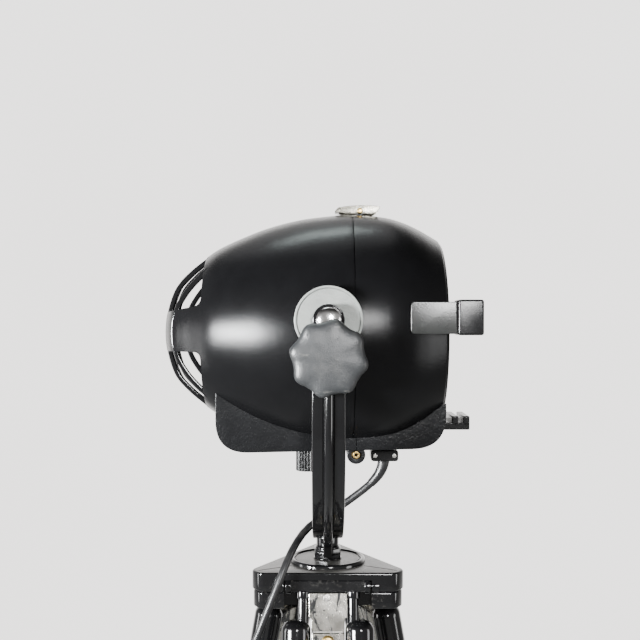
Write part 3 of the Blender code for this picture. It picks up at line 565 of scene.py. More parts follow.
tail_route = smooth_route([leaving, leaving + Vector((-0.013, 0, 0.0012)), BOOT], 0.006)
lower_route = drop_route + coil_route[1:] + tail_route[1:]
cord_lower = round_tube("supply_cord_lower", [PIVOT + p for p in lower_route], CORD_RADIUS)

# %% [markdown]
# ## The plug and the coil's tie
#
# The plug is a moulded rubber body with finger ribs and a tapered boot, and two brass pins with sleeves.
# The body is a superellipse section swept along the cord's line, wide in the middle. A soft strap ties the
# coil.

# %% Plug and tie
def oval_sweep(name, start, direction, stations, power=3.2, sides=40):
    """A moulded body: superellipse sections (along, half width, half height) in a row."""
    points = [Vector(start) + Vector(direction) * s[0] for s in stations]

    def section(i):
        _, wide, high = stations[i]
        found = []
        for k in range(sides):
            c, s = cos(2 * pi * k / sides), sin(2 * pi * k / sides)
            x = wide * (abs(c) ** (2 / power)) * (1 if c >= 0 else -1)
            z = high * (abs(s) ** (2 / power)) * (1 if s >= 0 else -1)
            found.append(points[i] + Vector((0, x, z)))
        return found

    return sweep(name, points, section)


boot_start = PIVOT + BOOT
stations = [(0.0, 0.0042, 0.0042)]
for i in range(5):
    stations += [(0.0015 + i * 0.0042, 0.0055 + i * 0.0003, 0.0055 + i * 0.0003)]
    stations += [(0.0040 + i * 0.0042, 0.0048 + i * 0.0003, 0.0048 + i * 0.0003)]
stations += [(0.0225, 0.0085, 0.0080), (0.0245, 0.0128, 0.0105), (0.029, 0.0160, 0.0118),
             (0.036, 0.0168, 0.0121),
             (0.047, 0.0172, 0.0121), (0.056, 0.0176, 0.0121), (0.0585, 0.0170, 0.0116),
             (0.0600, 0.0150, 0.0098)]
plug = oval_sweep("mains_plug", boot_start, (-1, 0, 0), stations)
pins = []
for offset in (-0.0095, 0.0095):
    root = boot_start + Vector((-0.0590, offset, 0))
    pins.append(bar("plug_pin", root, root + Vector((-0.019, 0, 0)), 0.0024, 0.0012, 24))
plug_pins = joined("plug_pins", pins)
tie_points, tie_angle = [], 2.2
tie_centre = PIVOT + COIL_CENTRE + Vector((0.0425 * cos(tie_angle), 0.0425 * sin(tie_angle), FLOOR + 0.0125))
outwards = Vector((cos(tie_angle), sin(tie_angle), 0))
for i in range(48):
    a = 2 * pi * i / 48
    c, s = cos(a), sin(a)
    across = 0.0128 * (abs(c) ** 0.7) * (1 if c >= 0 else -1)
    up = max(0.0138 * (abs(s) ** 0.7) * (1 if s >= 0 else -1), -0.0110)
    tie_points.append(tie_centre + outwards * across + Vector((0, 0, up)))
along = Vector((-sin(tie_angle), cos(tie_angle), 0))


def tie_section(i):
    out = (tie_points[i] - tie_centre).normalized()
    return [tie_points[i] + along * x + out * z for x, z in ((-0.0055, 0), (-0.0055, 0.0011),
        (0.0055, 0.0011), (0.0055, 0))]


coil_tie = sweep("coil_tie", tie_points, tie_section, closed=True)
print("plug pins at x", round(min((v.co.x for v in plug_pins.data.vertices)), 4))

# %% [markdown]
# Rubber is a broad, soft highlight with fine scuffs and dust in it. The plug's brass pins and the strap get
# their own finishes. The plug, its pins and the strap ride on the tripod's head.

# %% Cord finishes and bodies
RUBBER = coat("cord_rubber", (0.0075, 0.0075, 0.0080), 0.33, (1500, 0.00010), (300, 0.0002), dust=0.10)
BRASS = coat("aged_brass", (0.52, 0.36, 0.13), 0.30, (900, 0.0001), (120, 0.0003), dust=0.25, metallic=1.0)
STRAP = coat("woven_strap", (0.030, 0.030, 0.032), 0.80, (1800, 0.0004), (400, 0.0004), dust=0.2)
for piece, material in ((cord_upper, RUBBER), (cord_lower, RUBBER), (plug, RUBBER), (plug_pins, BRASS),
                        (coil_tie, STRAP)):
    painted(piece, material)
for piece, name in ((plug, "cord_rubber"), (plug_pins, "brass"), (coil_tie, "cord_rubber")):
    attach(piece, "tripod_head")
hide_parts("cord_upper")
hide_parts("cord_drop", "cord_coil")
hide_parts("plug")
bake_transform(cord_upper)
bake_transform(cord_lower)

# %% [markdown]
# ## Floor and light
#
# A gloss black object is drawn by what it reflects, so the room matters more than the lamps. The world is a
# grey studio with a pale wall far behind, dark overhead so that upward faces stay dark. A soft oval light
# on the left makes the large glow on the egg, a small one near the camera the lesser glow, and two tall
# ones at the sides draw the long lines on the tubes. Their beams are narrow, so the pale floor below stays
# calm.

# %% Floor
floor_bm = bmesh.new()
bmesh.ops.create_circle(floor_bm, cap_ends=True, radius=2.6, segments=160)
floor = from_bmesh("studio_floor", floor_bm)
floor.location.z = cad_low.z - 0.0004
pale, pale_nodes, pale_links, pale_shader = new_material("studio_floor")
speck = noise(pale_nodes, pale_links, coordinates(pale_nodes), 3, 6, 0.6)
pale_links.new(ramp(pale_nodes, pale_links, speck, [(0.3, (0.80, 0.80, 0.79)), (0.7, (0.86, 0.86, 0.85))]),
               pale_shader.inputs["Base Color"])
pale_shader.inputs["Roughness"].default_value = 0.75
painted(floor, pale)

# %% World
world = bpy.data.worlds.new("studio")
bpy.context.scene.world = world
world.use_nodes = True
air, air_links = world.node_tree.nodes, world.node_tree.links
background = air["Background"]
direction = air.new("ShaderNodeSeparateXYZ")
air_links.new(air.new("ShaderNodeTexCoord").outputs["Generated"], direction.inputs["Vector"])


def fade(axis, start, end, first, last):
    """A number that goes smoothly from first to last as one axis of the direction goes from start to end."""
    made = air.new("ShaderNodeMapRange")
    made.interpolation_type = "SMOOTHSTEP"
    for socket, value in (("From Min", start), ("From Max", end), ("To Min", first), ("To Max", last)):
        made.inputs[socket].default_value = value
    air_links.new(direction.outputs[axis], made.inputs["Value"])
    return made.outputs["Result"]


wall = fade("Y", 0.45, 0.88, 0.34, 2.8)
overhead = fade("Z", 0.36, 0.80, 1.0, 0.10)
air_links.new(maths(air, air_links, "MULTIPLY", wall, overhead), background.inputs["Strength"])
stain = noise(air, air_links, air.new("ShaderNodeTexCoord").outputs["Generated"], 2.2, 3, 0.5)
air_links.new(ramp(air, air_links, stain, [(0.35, (0.905, 0.880, 0.865)), (0.7, (0.955, 0.940, 0.925))]),
              background.inputs["Color"])


# %% Soft lights
def soft_light(name, place, towards, size, power, tint=(1, 1, 1), beam=180):
    data = bpy.data.lights.new(name, "AREA")
    data.shape = "ELLIPSE"
    data.size, data.size_y = size
    data.energy = power
    data.color = tint
    data.spread = radians(beam)
    light = bpy.data.objects.new(name, data)
    light.location = place
    light.rotation_euler = (Vector(towards) - Vector(place)).to_track_quat("-Z", "Y").to_euler()
    bpy.context.scene.collection.objects.link(light)
    return light


soft_light("window_left", PIVOT + Vector((-1.55, -1.28, -0.02)), PIVOT, (0.76, 0.46), 22, (0.97, 0.99, 1.0),
           50)
soft_light("lamp_right", PIVOT + Vector((0.36, -2.15, 0.44)), PIVOT, (0.42, 0.42), 2.4, (1, 1, 1), 40)
soft_light("window_right", PIVOT + Vector((1.75, -0.75, -0.25)), PIVOT + Vector((0, 0, -0.2)), (0.55, 1.3),
           3.5, (1, 1, 1), 100)
soft_light("strip_left", PIVOT + Vector((-1.75, -0.10, -0.35)), PIVOT + Vector((0, 0, -0.35)), (0.30, 1.1),
           3.5, (1, 1, 1), 100)
soft_light("sky_strip", PIVOT + Vector((-0.25, 0.75, 2.05)), PIVOT, (1.2, 0.16), 12, (0.85, 1.0, 0.97))
sun = bpy.data.lights.new("roof_glow", "SUN")
sun.energy = 0.6
sun.angle = radians(50)
roof = bpy.data.objects.new("roof_glow", sun)
roof.rotation_euler = Vector((0.10, -0.42, -1.0)).to_track_quat("-Z", "Y").to_euler()
roof.location = PIVOT + Vector((0, 0, 2))
bpy.context.scene.collection.objects.link(roof)
print("lights", len(bpy.data.lights))

# %% [markdown]
# ## The egg
#
# The housing is a thin casting, turned about one level axis a little below the pivot, so a lathe profile is
# its true construction. A dozen points give the outline and a Catmull-Rom curve smooths them. The inside is
# the same outline moved in by the wall. The front and rear halves are two lathes that stop at the seam.

# %% The egg's outline
EGG_AXIS = Vector((0, 0, -0.013))
EGG_POINTS = [(-174, 0), (-173, 22), (-163, 50), (-150, 65), (-134, 78), (-115, 91), (-84, 105), (-59, 114),
              (-31, 121),
              (-6, 124.5), (22, 126.7), (57, 124.5), (79, 119), (97, 111), (111, 103), (117.5, 99)]
SEAM, WALL, CAGE_EDGE = 0.026, 0.0035, -0.129


def smooth_outline(points, steps=8):
    points = [Vector(p) / 1000 for p in points]
    ends = [Vector((points[0].x, -points[1].y))] + points + [2 * points[-1] - points[-2]]
    found = []
    for a, b, c, d in zip(ends, ends[1:], ends[2:], ends[3:]):
        for i in range(steps):
            t = i / steps
            found.append(0.5 * (2 * b + (c - a) * t + (2 * a - 5 * b + 4 * c - d) * t**2
                                + (3 * b - a - 3 * c + d) * t**3))
    return found + [points[-1]]


EGG = smooth_outline(EGG_POINTS)


def offset_outline(depth):
    """The egg's outline moved in along its own normal."""
    moved = []
    for i, point in enumerate(EGG):
        along = (EGG[min(i + 1, len(EGG) - 1)] - EGG[max(i - 1, 0)]).normalized()
        moved.append(Vector((point.x + along.y * depth, max(point.y - along.x * depth, 0))))
    return moved


def stretch(outline, low, high):
    """The stretch of an outline between two X values."""
    found = [Vector(outline[0])] if outline[0].x >= low else []
    for a, b in zip(outline, outline[1:]):
        for edge in (low, high):
            if a.x < edge < b.x:
                found.append(a.lerp(b, (edge - a.x) / (b.x - a.x)))
        if low <= b.x <= high:
            found.append(Vector(b))
    return found


def radius_at(x):
    for a, b in zip(EGG, EGG[1:]):
        if a.x <= x <= b.x and b.x > a.x:
            return a.y + (b.y - a.y) * (x - a.x) / (b.x - a.x)
    return EGG[-1].y


print("egg", len(EGG), "outline points, largest radius", round(max(p.y for p in EGG), 4))


# %% Both halves
def egg_profile(outline):
    return [(p.y, p.x) for p in outline]


outer = stretch(EGG, SEAM + 0.0003, 0.118)
inner = stretch(offset_outline(WALL), SEAM + 0.0003, 0.1085)
lip = fillet([(0.0968, 0.1185), (0.0955, 0.1204), (0.0925, 0.1203), (0.0812, 0.1130), (0.0800, 0.1130),
              (0.0720, 0.1130), (0.0720, 0.1095), (0.085, 0.1092)], 0.0012, False, 3)
seam_edge = [(outer[0].y - 0.0006, SEAM + 0.0003), (outer[0].y - 0.00015, SEAM + 0.00045)]
ring = seam_edge + egg_profile(outer)[1:] + lip + egg_profile(reversed(inner))
front_egg = lathe("front_shell_cast", ring, "X", EGG_AXIS, 192, closed=True)

outer = stretch(EGG, -0.2, SEAM - 0.0003)
inner = stretch(offset_outline(WALL), -0.2, SEAM - 0.0003)
seam_edge = [(outer[-1].y - 0.00015, SEAM - 0.00045), (outer[-1].y - 0.0006, SEAM - 0.0003)]
shell = egg_profile(outer)[:-1] + seam_edge + egg_profile(reversed(inner))
rear_egg = lathe("rear_shell_cast", shell, "X", EGG_AXIS, 192)
print("halves", len(front_egg.data.polygons), len(rear_egg.data.polygons))

# %% [markdown]
# ## The cage at the rear
#
# Behind the lamp the casting opens into windows for the heat: two rows, above and below a level band,
# crossed by upright ribs. The windows are cut through both sides at once with two rounded outlines. Each
# rib is a rounded bar swept along the egg's own curve in an upright plane, so that it meets the shell and
# the band where it really would.

# %% Windows and underside
UPRIGHT = Matrix.Rotation(pi / 2, 4, "X")
upper_window = fillet([(-0.20, 0.0075), (-0.172, 0.0078), (CAGE_EDGE, 0.0150, 0.008), (CAGE_EDGE, 0.12),
                       (-0.20, 0.12)],
                      0.0005, True, 8)
lower_window = fillet([(-0.20, -0.12), (CAGE_EDGE, -0.12), (CAGE_EDGE, -0.0325, 0.008), (-0.172, -0.0325),
                       (-0.20, -0.0325)], 0.0005, True, 8)
for outline in (upper_window, lower_window):
    cut(rear_egg, slab("window_tool", outline, 0.3, UPRIGHT))
for side in (-1, 1):
    rear_slot = brick("slot_tool", (-0.0125, side * 0.105, -0.0145), (0.04, side * 0.14, 0.0185), 0)
    cut(rear_egg, rear_slot)
for shell_half in (rear_egg, front_egg):
    cut(shell_half, brick("under_tool", (-0.108, -0.0645, -0.16), (0.104, 0.0645, -0.088), 0))
rear_egg = baked(round_off(rear_egg, 0.0011, 3, 50))
rear_egg.data.set_sharp_from_angle(angle=radians(35))

# %% Ribs
RIB_PLANES = [-0.050, -0.025, 0.0, 0.025, 0.050]


def rib(y):
    """A bar along the egg's surface in the plane Y = y, from one window's edge round to the other's."""
    start = CAGE_EDGE + 0.003
    heights = []
    for i in range(61):
        angle = pi * i / 60
        across = cos(angle)
        low, high = -0.1745, start
        for _ in range(40):
            middle = (low + high) / 2
            reach = sqrt(max(radius_at(middle) ** 2 - y * y, 0))
            limit = sqrt(radius_at(start) ** 2 - y * y)
            if reach > abs(across) * limit:
                high = middle
            else:
                low = middle
        heights.append(Vector((high, y, across * limit)))
    path = [EGG_AXIS + Vector((p.x, p.y, p.z)) for p in heights]
    outline = fillet([(-0.0023, -0.0032), (0.0023, -0.0032), (0.0023, 0.0026), (-0.0023, 0.0026)], 0.0020,
                     True, 4)

    def section(i):
        tangent = (path[min(i + 1, 60)] - path[max(i - 1, 0)]).normalized()
        out = tangent.cross(Vector((0, 1, 0))).normalized()
        if out.x > 0.35:
            out = -out
        return [path[i] + Vector((0, a, 0)) + out * (b - 0.0026) for a, b in outline]

    return sweep("cage_rib", path, section)


cage = joined("cage_ribs", [rib(y) for y in RIB_PLANES])
print("rear shell", len(rear_egg.data.polygons), "ribs", len(cage.data.polygons))
for piece, body, nodes in ((rear_egg, "rear_housing", ["rear_shell"]), (cage, "rear_housing", []),
                           (front_egg, "front_housing", ["front_shell"])):
    painted(piece, GLOSS if piece == cage else HOUSING)
    fit(piece, body, "housing_black", *nodes)

# %% [markdown]
# ## The brackets inside and the catch's ear
#
# The yoke's pivot bolts screw into two brackets cast inside the front half, and a small ear on top carries
# the catch. They stand on the shell, so a rounded block each is enough.

# %% Brackets and ear
brackets = []
for side in (-1, 1):
    brackets.append(brick("bracket", (-0.012, side * 0.111, -0.014), (0.045, side * 0.115, 0.014), 0.0012))
    brackets.append(brick("bracket_foot", (0.030, side * 0.111, -0.014), (0.045, side * 0.1232, 0.010),
                          0.0012))
brackets.append(brick("catch_ear", (0.0300, -0.0085, 0.108), (0.0394, 0.0085, 0.1206), 0.0014))
inner_brackets = painted(joined("inner_brackets", brackets), HOUSING)
fit(inner_brackets, "front_housing", "housing_black")

# %% [markdown]
# ## The base box
#
# Under the egg sits a cast trough with a coarser skin. It is one rounded outline, thick in Y, hollowed, and
# cut by the egg so that the egg seems to sink into it. A plane at the seam splits it into the front and
# rear halves, which share the hinge barrel below.

# %% Box outline and trough
HINGE_X, HINGE_Z = 0.0288, -0.138


def box_outline(inset, top):
    rear, front = -0.115 + inset, 0.1206 - inset
    return fillet([(front, top, 0.001), (rear, top, 0.001), (rear, -0.136 + inset, 0.034 - inset),
                   (front, -0.131 + inset, 0.040 - inset)], 0.001, True, 12)


def trough(name, low_x, high_x):
    box = slab(name, box_outline(0, -0.06), 0.136, UPRIGHT)
    box = baked(round_off(box, 0.0065, 5, 60))
    cut(box, slab("hollow", box_outline(0.0032, -0.04), 0.1296, UPRIGHT))
    tool = [(0, -0.1746)] + [(r + 0.0004, x) for r, x in egg_profile(EGG)[1:]] + [(0.097, 0.14), (0, 0.14)]
    egg_tool = lathe("egg_tool", tool, "X", EGG_AXIS, 192)
    cut(egg_tool, brick("floor_tool", (-0.2, -0.2, -0.2), (0.2, 0.2, -0.1292), 0))
    cut(box, egg_tool)
    cut(box, brick("keep", (low_x, -0.1, -0.2), (high_x, 0.1, -0.02), 0), operation="INTERSECT")
    return box


front_box = trough("front_base_cast", HINGE_X + 0.0003, 0.2)
rear_box = trough("rear_base_cast", -0.2, HINGE_X - 0.0003)
cut(rear_box, brick("focus_slot", (-0.049, -0.0048, -0.15), (0.007, 0.0048, -0.12), 0))


# %% Hinge barrel
def barrel(y_low, y_high):
    half = (y_high - y_low) / 2
    outline = fillet([(0.0042, half), (0.0095, half), (0.0095, -half), (0.0042, -half)], 0.0011)
    return lathe("knuckle", outline, "Y", (HINGE_X, (y_low + y_high) / 2, HINGE_Z), 48, closed=True)


for box, knuckles, others in ((front_box, [(-0.030, 0.030)], [(-0.064, -0.0303), (0.0303, 0.064)]),
                              (rear_box, [(-0.064, -0.0303), (0.0303, 0.064)], [(-0.030, 0.030)])):
    for low, high in others:
        cut(box, bar("relief", (HINGE_X, low - 0.0003, HINGE_Z), (HINGE_X, high + 0.0003, HINGE_Z), 0.0101,
                     0))
    for low, high in knuckles:
        cut(box, bar("clear", (HINGE_X, low, HINGE_Z), (HINGE_X, high, HINGE_Z), 0.0092, 0))
front_box = joined("front_base_box_cast", [front_box, barrel(-0.030, 0.030)])
rear_box = joined("rear_base_box_cast", [rear_box, barrel(-0.064, -0.0303), barrel(0.0303, 0.064)])
painted(front_box, ROUGH_CAST)
painted(rear_box, ROUGH_CAST)
fit(front_box, "front_housing", "base_black", "front_base_box")
fit(rear_box, "rear_housing", "base_black", "rear_base_box")
end_profile = fillet([(0.0017, 0.0662), (0.0036, 0.0662), (0.0039, 0.0655), (0.0039, -0.0655),
                      (0.0036, -0.0662),
                      (0.0017, -0.0662)], 0.0003)
hinge_pin = painted(lathe("hinge_pin_turned", end_profile, "Y", (HINGE_X, 0, HINGE_Z), 32, closed=True),
                    BRASS)
fit(hinge_pin, "front_housing", "brass", "door_hinge_pin")
print("base box", len(front_box.data.polygons), len(rear_box.data.polygons))

# %% [markdown]
# ## Colour frame runners
#
# Two channels at the sides and a comb below hold a square of coloured film in front of the lens. Each side
# one is a cast boss on the egg with a separate rounded channel on its end, and a dark groove between them.
# A small block with rounded edges is right for each, because the real ones are just that.

# %% Side runners
SATIN_GREY = coat("worn_boss_grey", (0.012, 0.0125, 0.012), 0.25, (520, 0.0001), (90, 0.0001), dust=0.02,
                  uneven=0.02)
for name, side in (("near", -1), ("far", 1)):
    boss_outline = fillet([(0.0795, -0.0135, 0.004), (0.1236, -0.0135, 0.001), (0.1236, 0.0175, 0.001),
                           (0.0795, 0.0175, 0.004)], 0.003, True, 6)
    boss = slab("boss", boss_outline, 0.0305, Matrix.Translation((0, side * 0.10575, 0)) @ UPRIGHT, 0.0022, 4)
    channel_outline = fillet([(0.1251, -0.0148), (0.1502, -0.0148), (0.1502, 0.0198), (0.1251, 0.0198)],
                             0.0028, True, 6)
    channel = slab("channel", channel_outline, 0.031, Matrix.Translation((0, side * 0.1055, 0)) @ UPRIGHT,
                   0.0022, 4)
    cut(channel, brick("film_slot", (0.139, side * 0.08, -0.03), (0.1436, side * 0.1165, 0.03), 0))
    neck = brick("neck", (0.1223, side * 0.093, -0.0125), (0.1263, side * 0.1192, 0.0168), 0.0004)
    egg_tool = lathe("egg_tool", [(0, -0.1746)] + [(r + 0.0001, x) for r, x in egg_profile(EGG)[1:]]
                     + [(0.097, 0.14), (0, 0.14)], "X", EGG_AXIS, 192)
    cut(boss, egg_tool)
    print("boss", name, len(boss.data.polygons), "faces")
    painted(boss, SATIN_GREY)
    painted(channel, SMOOTH_CAST)
    painted(neck, GLOSS)
    runner = joined(f"side_runner_{name}_cast", [channel, boss, neck])
    fit(runner, "front_housing", "housing_black", f"side_runner_{name}")

# %% The comb
comb_parts = [brick("bar", (0.1200, -0.026, -0.1168), (0.1510, 0.026, -0.1090), 0.0012)]
for low, high in ((0.1320, 0.1390), (0.1440, 0.1510)):
    comb_parts.append(brick("prong", (low, -0.026, -0.1120), (high, 0.026, -0.1022), 0.0012))
comb_parts.append(brick("foot", (0.1190, -0.026, -0.1150), (0.1262, 0.026, -0.1075), 0.0010))
comb = painted(joined("bottom_runner_cast", comb_parts), SMOOTH_CAST)
fit(comb, "front_housing", "base_black", "bottom_runner")

# %% [markdown]
# ## The catch
#
# On top, a bent nickel channel snaps the two halves together. It is a pressed strip, so an outline with the
# bends rounded and the hollow cut from below gives it. It turns on a brass pin with a domed head.

# %% Catch and pin
NICKEL = coat("worn_nickel", (0.27, 0.26, 0.22), 0.28, (700, 0.0002), (140, 0.0004), dust=0.45, metallic=1.0,
              chips=0.5, bare=(0.10, 0.08, 0.05), streak=(0.4, 1.0, 1.0))
catch_outline = fillet([(0.0075, 0.1168, 0.001), (0.0115, 0.1216, 0.002), (0.0300, 0.1240, 0.010),
                        (0.0480, 0.1236, 0.003),
                        (0.0568, 0.1222, 0.001), (0.0535, 0.1162, 0.001), (0.0485, 0.1142, 0.001),
                        (0.0180, 0.1150, 0.002)],
                       0.001, True, 5)
catch = slab("catch_pressing", catch_outline, 0.0238, UPRIGHT, 0.0007, 3)
cut(catch, brick("hollow", (0.0125, -0.0098, 0.10), (0.0600, 0.0098, 0.1219), 0))
painted(catch, NICKEL)
fit(catch, "catch", "worn_steel", "catch_lever")
pin_profile = fillet([(0, 0.0146), (0.0024, 0.0144), (0.0032, 0.0132), (0.0032, 0.0124), (0.0018, 0.0124),
                      (0.0018, -0.0124), (0.0032, -0.0124), (0.0032, -0.0132), (0.0024, -0.0144),
                      (0, -0.0146)],
                     0.0004, False)
catch_pin = painted(lathe("catch_pin_turned", pin_profile, "Y", (0.0347, 0, 0.1176), 32), BRASS)
fit(catch_pin, "front_housing", "brass", "catch_pin")

# %% [markdown]
# ## The cord clamp
#
# A small black plate with rounded ends and two bright screws holds the cord under the hinge. Below it the
# cord wears a tapered rubber sleeve, which keeps it from bending sharply where it leaves.


# %% Screws
def screw_head(name, centre, radius, height, turn, slot_angle=0.6):
    """A cheese-head screw whose face looks along the turn's +Z."""
    profile = [(0, height)] + fillet([(0, height), (radius, height), (radius, 0), (0, 0)], height * 0.35,
        False)[1:]
    head = lathe(name, profile, sides=40)
    groove = brick("groove", (-radius * 1.2, -radius * 0.13, height * 0.45),
                   (radius * 1.2, radius * 0.13, height * 1.5), 0)
    groove.data.transform(Matrix.Rotation(slot_angle, 4, "Z"))
    cut(head, groove)
    head.data.transform(Matrix.Translation(centre) @ turn)
    return head


FACE_NEAR = Matrix.Rotation(pi / 2, 4, "X")
BRIGHT = coat("bright_screw", (0.48, 0.47, 0.45), 0.30, (800, 0.0001), (200, 0.0002), dust=0.4, metallic=1.0)
clamp_outline = fillet([(0.0455, -0.1492), (0.0745, -0.1492), (0.0745, -0.1372), (0.0455, -0.1372)], 0.0034,
                       True, 6)
clamp = slab("clamp", clamp_outline, 0.028, Matrix.Translation((0, -0.020, 0)) @ UPRIGHT, 0.0012)
saddle = brick("saddle", (0.0505, -0.0330, -0.1385), (0.0695, -0.0070, -0.1325), 0.001)
clamp = joined("cord_clamp_plate", [painted(clamp, SMOOTH_CAST), painted(saddle, SMOOTH_CAST)])
fit(clamp, "front_housing", "base_black", "cord_clamp")
screws = [screw_head("clamp_screw", (x, -0.0339, -0.1432), 0.0022, 0.0012, FACE_NEAR, a)
          for x, a in ((0.0499, 0.5), (0.0702, 2.1))]
clamp_screws = painted(joined("clamp_screws", screws), BRIGHT)
fit(clamp_screws, "front_housing", "bright_metal")

# %% Strain relief
sleeve_path = [upper_route[0] + Vector((0, 0, 0.0012))] + upper_route[1:8]
sleeve_radii = []
for i in range(len(sleeve_path)):
    share = i / (len(sleeve_path) - 1)
    sleeve_radii.append(0.0064 - 0.0019 * share)
sleeve = painted(round_tube("cord_sleeve", sleeve_path, sleeve_radii, 32), RUBBER)
fit(sleeve, "front_housing", "cord_rubber")
print("sleeve", round(route_length(sleeve_path), 3), "m")

# %% [markdown]
# ## The lamp inside
#
# Seen through the cage and the lens: a lamp tray of folded steel, a ceramic lampholder with a glass lamp, a
# spun reflector behind it, and below the box the ridged knob that slides the tray to focus the beam.

# %% Tray, holder and knob
CERAMIC = coat("lampholder_ceramic", (0.62, 0.60, 0.55), 0.35, (700, 0.0001), (90, 0.0004), dust=0.4)
ALUMINIUM = coat("spun_aluminium", (0.72, 0.72, 0.71), 0.22, (500, 0.0001), (60, 0.0003), dust=0.2,
                 metallic=1.0,
                 streak=(1.0, 0.2, 0.2))
tray_parts = [brick("floor", (-0.066, -0.040, -0.1277), (0.020, 0.040, -0.1252), 0.0006)]
for side in (-1, 1):
    tray_parts.append(brick("flange", (-0.066, side * 0.038, -0.1272), (0.020, side * 0.040, -0.118), 0.0006))
tray = painted(joined("lamp_tray_folded", tray_parts), NICKEL)
fit(tray, "lamp_tray", "worn_steel", "lamp_tray")
holder_profile = fillet([(0, -0.096), (0.012, -0.096), (0.0135, -0.0975), (0.016, -0.100), (0.016, -0.116),
                         (0.021, -0.119),
                         (0.021, -0.1249), (0, -0.1249)], 0.0012, False)
holder = painted(lathe("lampholder_ceramic", holder_profile, "Z", (-0.021, 0, 0), 64), CERAMIC)
fit(holder, "lamp_tray", "ceramic", "lampholder")

# %% Reflector
dish_face = [(0.044 * sin(pi / 2 * i / 24), -0.082 + 0.024 * (1 - cos(pi / 2 * i / 24))) for i in range(25)]
dish_back = [(max(r - 0.0012 if r > 0.001 else 0, 0), x + 0.0016) for r, x in dish_face]
dish_ring = dish_face + [(0.0446, -0.0575), (0.0440, -0.0568)] + list(reversed(dish_back))
dish = painted(lathe("reflector_dish", dish_ring, "X", (0, 0, -0.040), 96), ALUMINIUM)
strap = painted(brick("reflector_strap", (-0.0655, -0.008, -0.1249), (-0.0625, 0.008, -0.078), 0.0005),
                NICKEL)
reflector = joined("reflector_spun", [dish, strap])
fit(reflector, "lamp_tray", "bright_metal", "reflector")

# %% Glass lamp
bulb_glass, glass_nodes, glass_links, glass_shader = new_material("bulb_glass")
glass_shader.inputs["Transmission Weight"].default_value = 1.0
glass_shader.inputs["IOR"].default_value = 1.45
haze = ramp(glass_nodes, glass_links, noise(glass_nodes, glass_links, coordinates(glass_nodes), 80, 5, 0.6),
            [(0.4, 0.02), (0.8, 0.10)])
glass_links.new(haze, glass_shader.inputs["Roughness"])
tint = ramp(glass_nodes, glass_links, noise(glass_nodes, glass_links, coordinates(glass_nodes), 30, 3, 0.5),
            [(0.3, (0.96, 0.97, 0.96)), (0.8, (0.99, 1.0, 0.99))])
glass_links.new(tint, glass_shader.inputs["Base Color"])
globe = [(0.030 * sin(pi * i / 40), -0.040 + 0.030 * cos(pi * i / 40)) for i in range(35)]
bulb_profile = globe + [(0.0128, -0.0695), (0.0125, -0.074), (0.0125, -0.0957), (0, -0.0957)]
bulb = painted(lathe("lamp_glass", bulb_profile, "Z", (-0.021, 0, 0), 64), bulb_glass)
fit(bulb, "lamp_tray", "bulb_glass", "bulb")

# %% Focus knob
ribs = []
for i in range(120):
    wave = 0.00065 * max(-0.6, min(0.6, 1.3 * cos(24 * 2 * pi * i / 120))) / 0.6
    ribs.append((2 * pi * i / 120, 0.0127 + wave))
levels = fillet([(0.0, -0.1384, 0.001), (1.0, -0.1384), (1.0, -0.1634), (0.0, -0.1634, 0.001)], 0.0018, False,
                4)
grip_bm = bmesh.new()
rows = []
for share, z in levels[1:-1]:
    rows.append([grip_bm.verts.new((r * max(share, 0.05) * cos(a), r * max(share, 0.05) * sin(a), z)) for a,
                 r in ribs])
for a, b in zip(rows, rows[1:]):
    for i in range(120):
        j = (i + 1) % 120
        grip_bm.faces.new((a[i], a[j], b[j], b[i]))
grip_bm.faces.new(rows[0])
grip_bm.faces.new(rows[-1])
bmesh.ops.translate(grip_bm, vec=(-0.021, 0, 0), verts=grip_bm.verts)
grip = painted(from_bmesh("focus_grip", grip_bm, 60), SMOOTH_CAST)
stem = painted(bar("focus_stem", (-0.021, 0, -0.1280), (-0.021, 0, -0.1500), 0.0040), BRIGHT)
focus_knob = joined("focus_knob_moulded", [grip, stem])
fit(focus_knob, "focus_knob", "base_black", "focus_knob")

# %% [markdown]
# ## The lens
#
# A Fresnel lens is a thick lens collapsed into rings: each ring keeps the curved face and drops the glass
# behind it. The profile is a saw of shallow arcs, flat on the back. A wire ring with clips holds it.

# %% Fresnel lens and its ring
lens_glass = bulb_glass.copy()
lens_glass.name = "lens_glass"
lens_profile = [(0, 0.0930)]
ring_edges = [0.016, 0.0245, 0.0315, 0.0380, 0.0440, 0.0495, 0.0545, 0.0595, 0.0645]
lens_profile += [(0.016 * i / 6, 0.0930 + 0.0022 * (i / 6) ** 2) for i in range(1, 7)]
for low, high in zip(ring_edges, ring_edges[1:]):
    lens_profile += [(low + 0.0004, 0.0936)]
    lens_profile += [(low + (high - low) * t, 0.0938 + 0.0056 * t**1.4) for t in (0.33, 0.66, 0.97)]
lens_profile += [(0.0652, 0.0990), (0.0685, 0.1030), (0.0755, 0.1030), (0.0760, 0.1035), (0.0760, 0.1085),
                 (0.0755, 0.1090),
                 (0, 0.1090)]
lens = painted(lathe("fresnel_lens_pressed", lens_profile, "X", EGG_AXIS, 128), lens_glass)
fit(lens, "front_housing", "lens_glass", "fresnel_lens")
ring_profile = [(0.0740 + 0.0020 * cos(2 * pi * i / 16),
                 0.1006 + 0.0018 * sin(2 * pi * i / 16)) for i in range(16)]
ring_parts = [lathe("wire_ring", ring_profile, "X", EGG_AXIS, 96, closed=True)]
for i in range(3):
    clip_turn = Matrix.Rotation(2 * pi * i / 3 + 0.5, 4, "X")
    clip = brick("clip", (0.0980, -0.006, 0.0700), (0.1030, 0.006, 0.0820), 0.0008)
    clip.data.transform(Matrix.Translation(EGG_AXIS) @ clip_turn)
    ring_parts.append(clip)
lens_ring = painted(joined("lens_wire_ring", ring_parts), NICKEL)
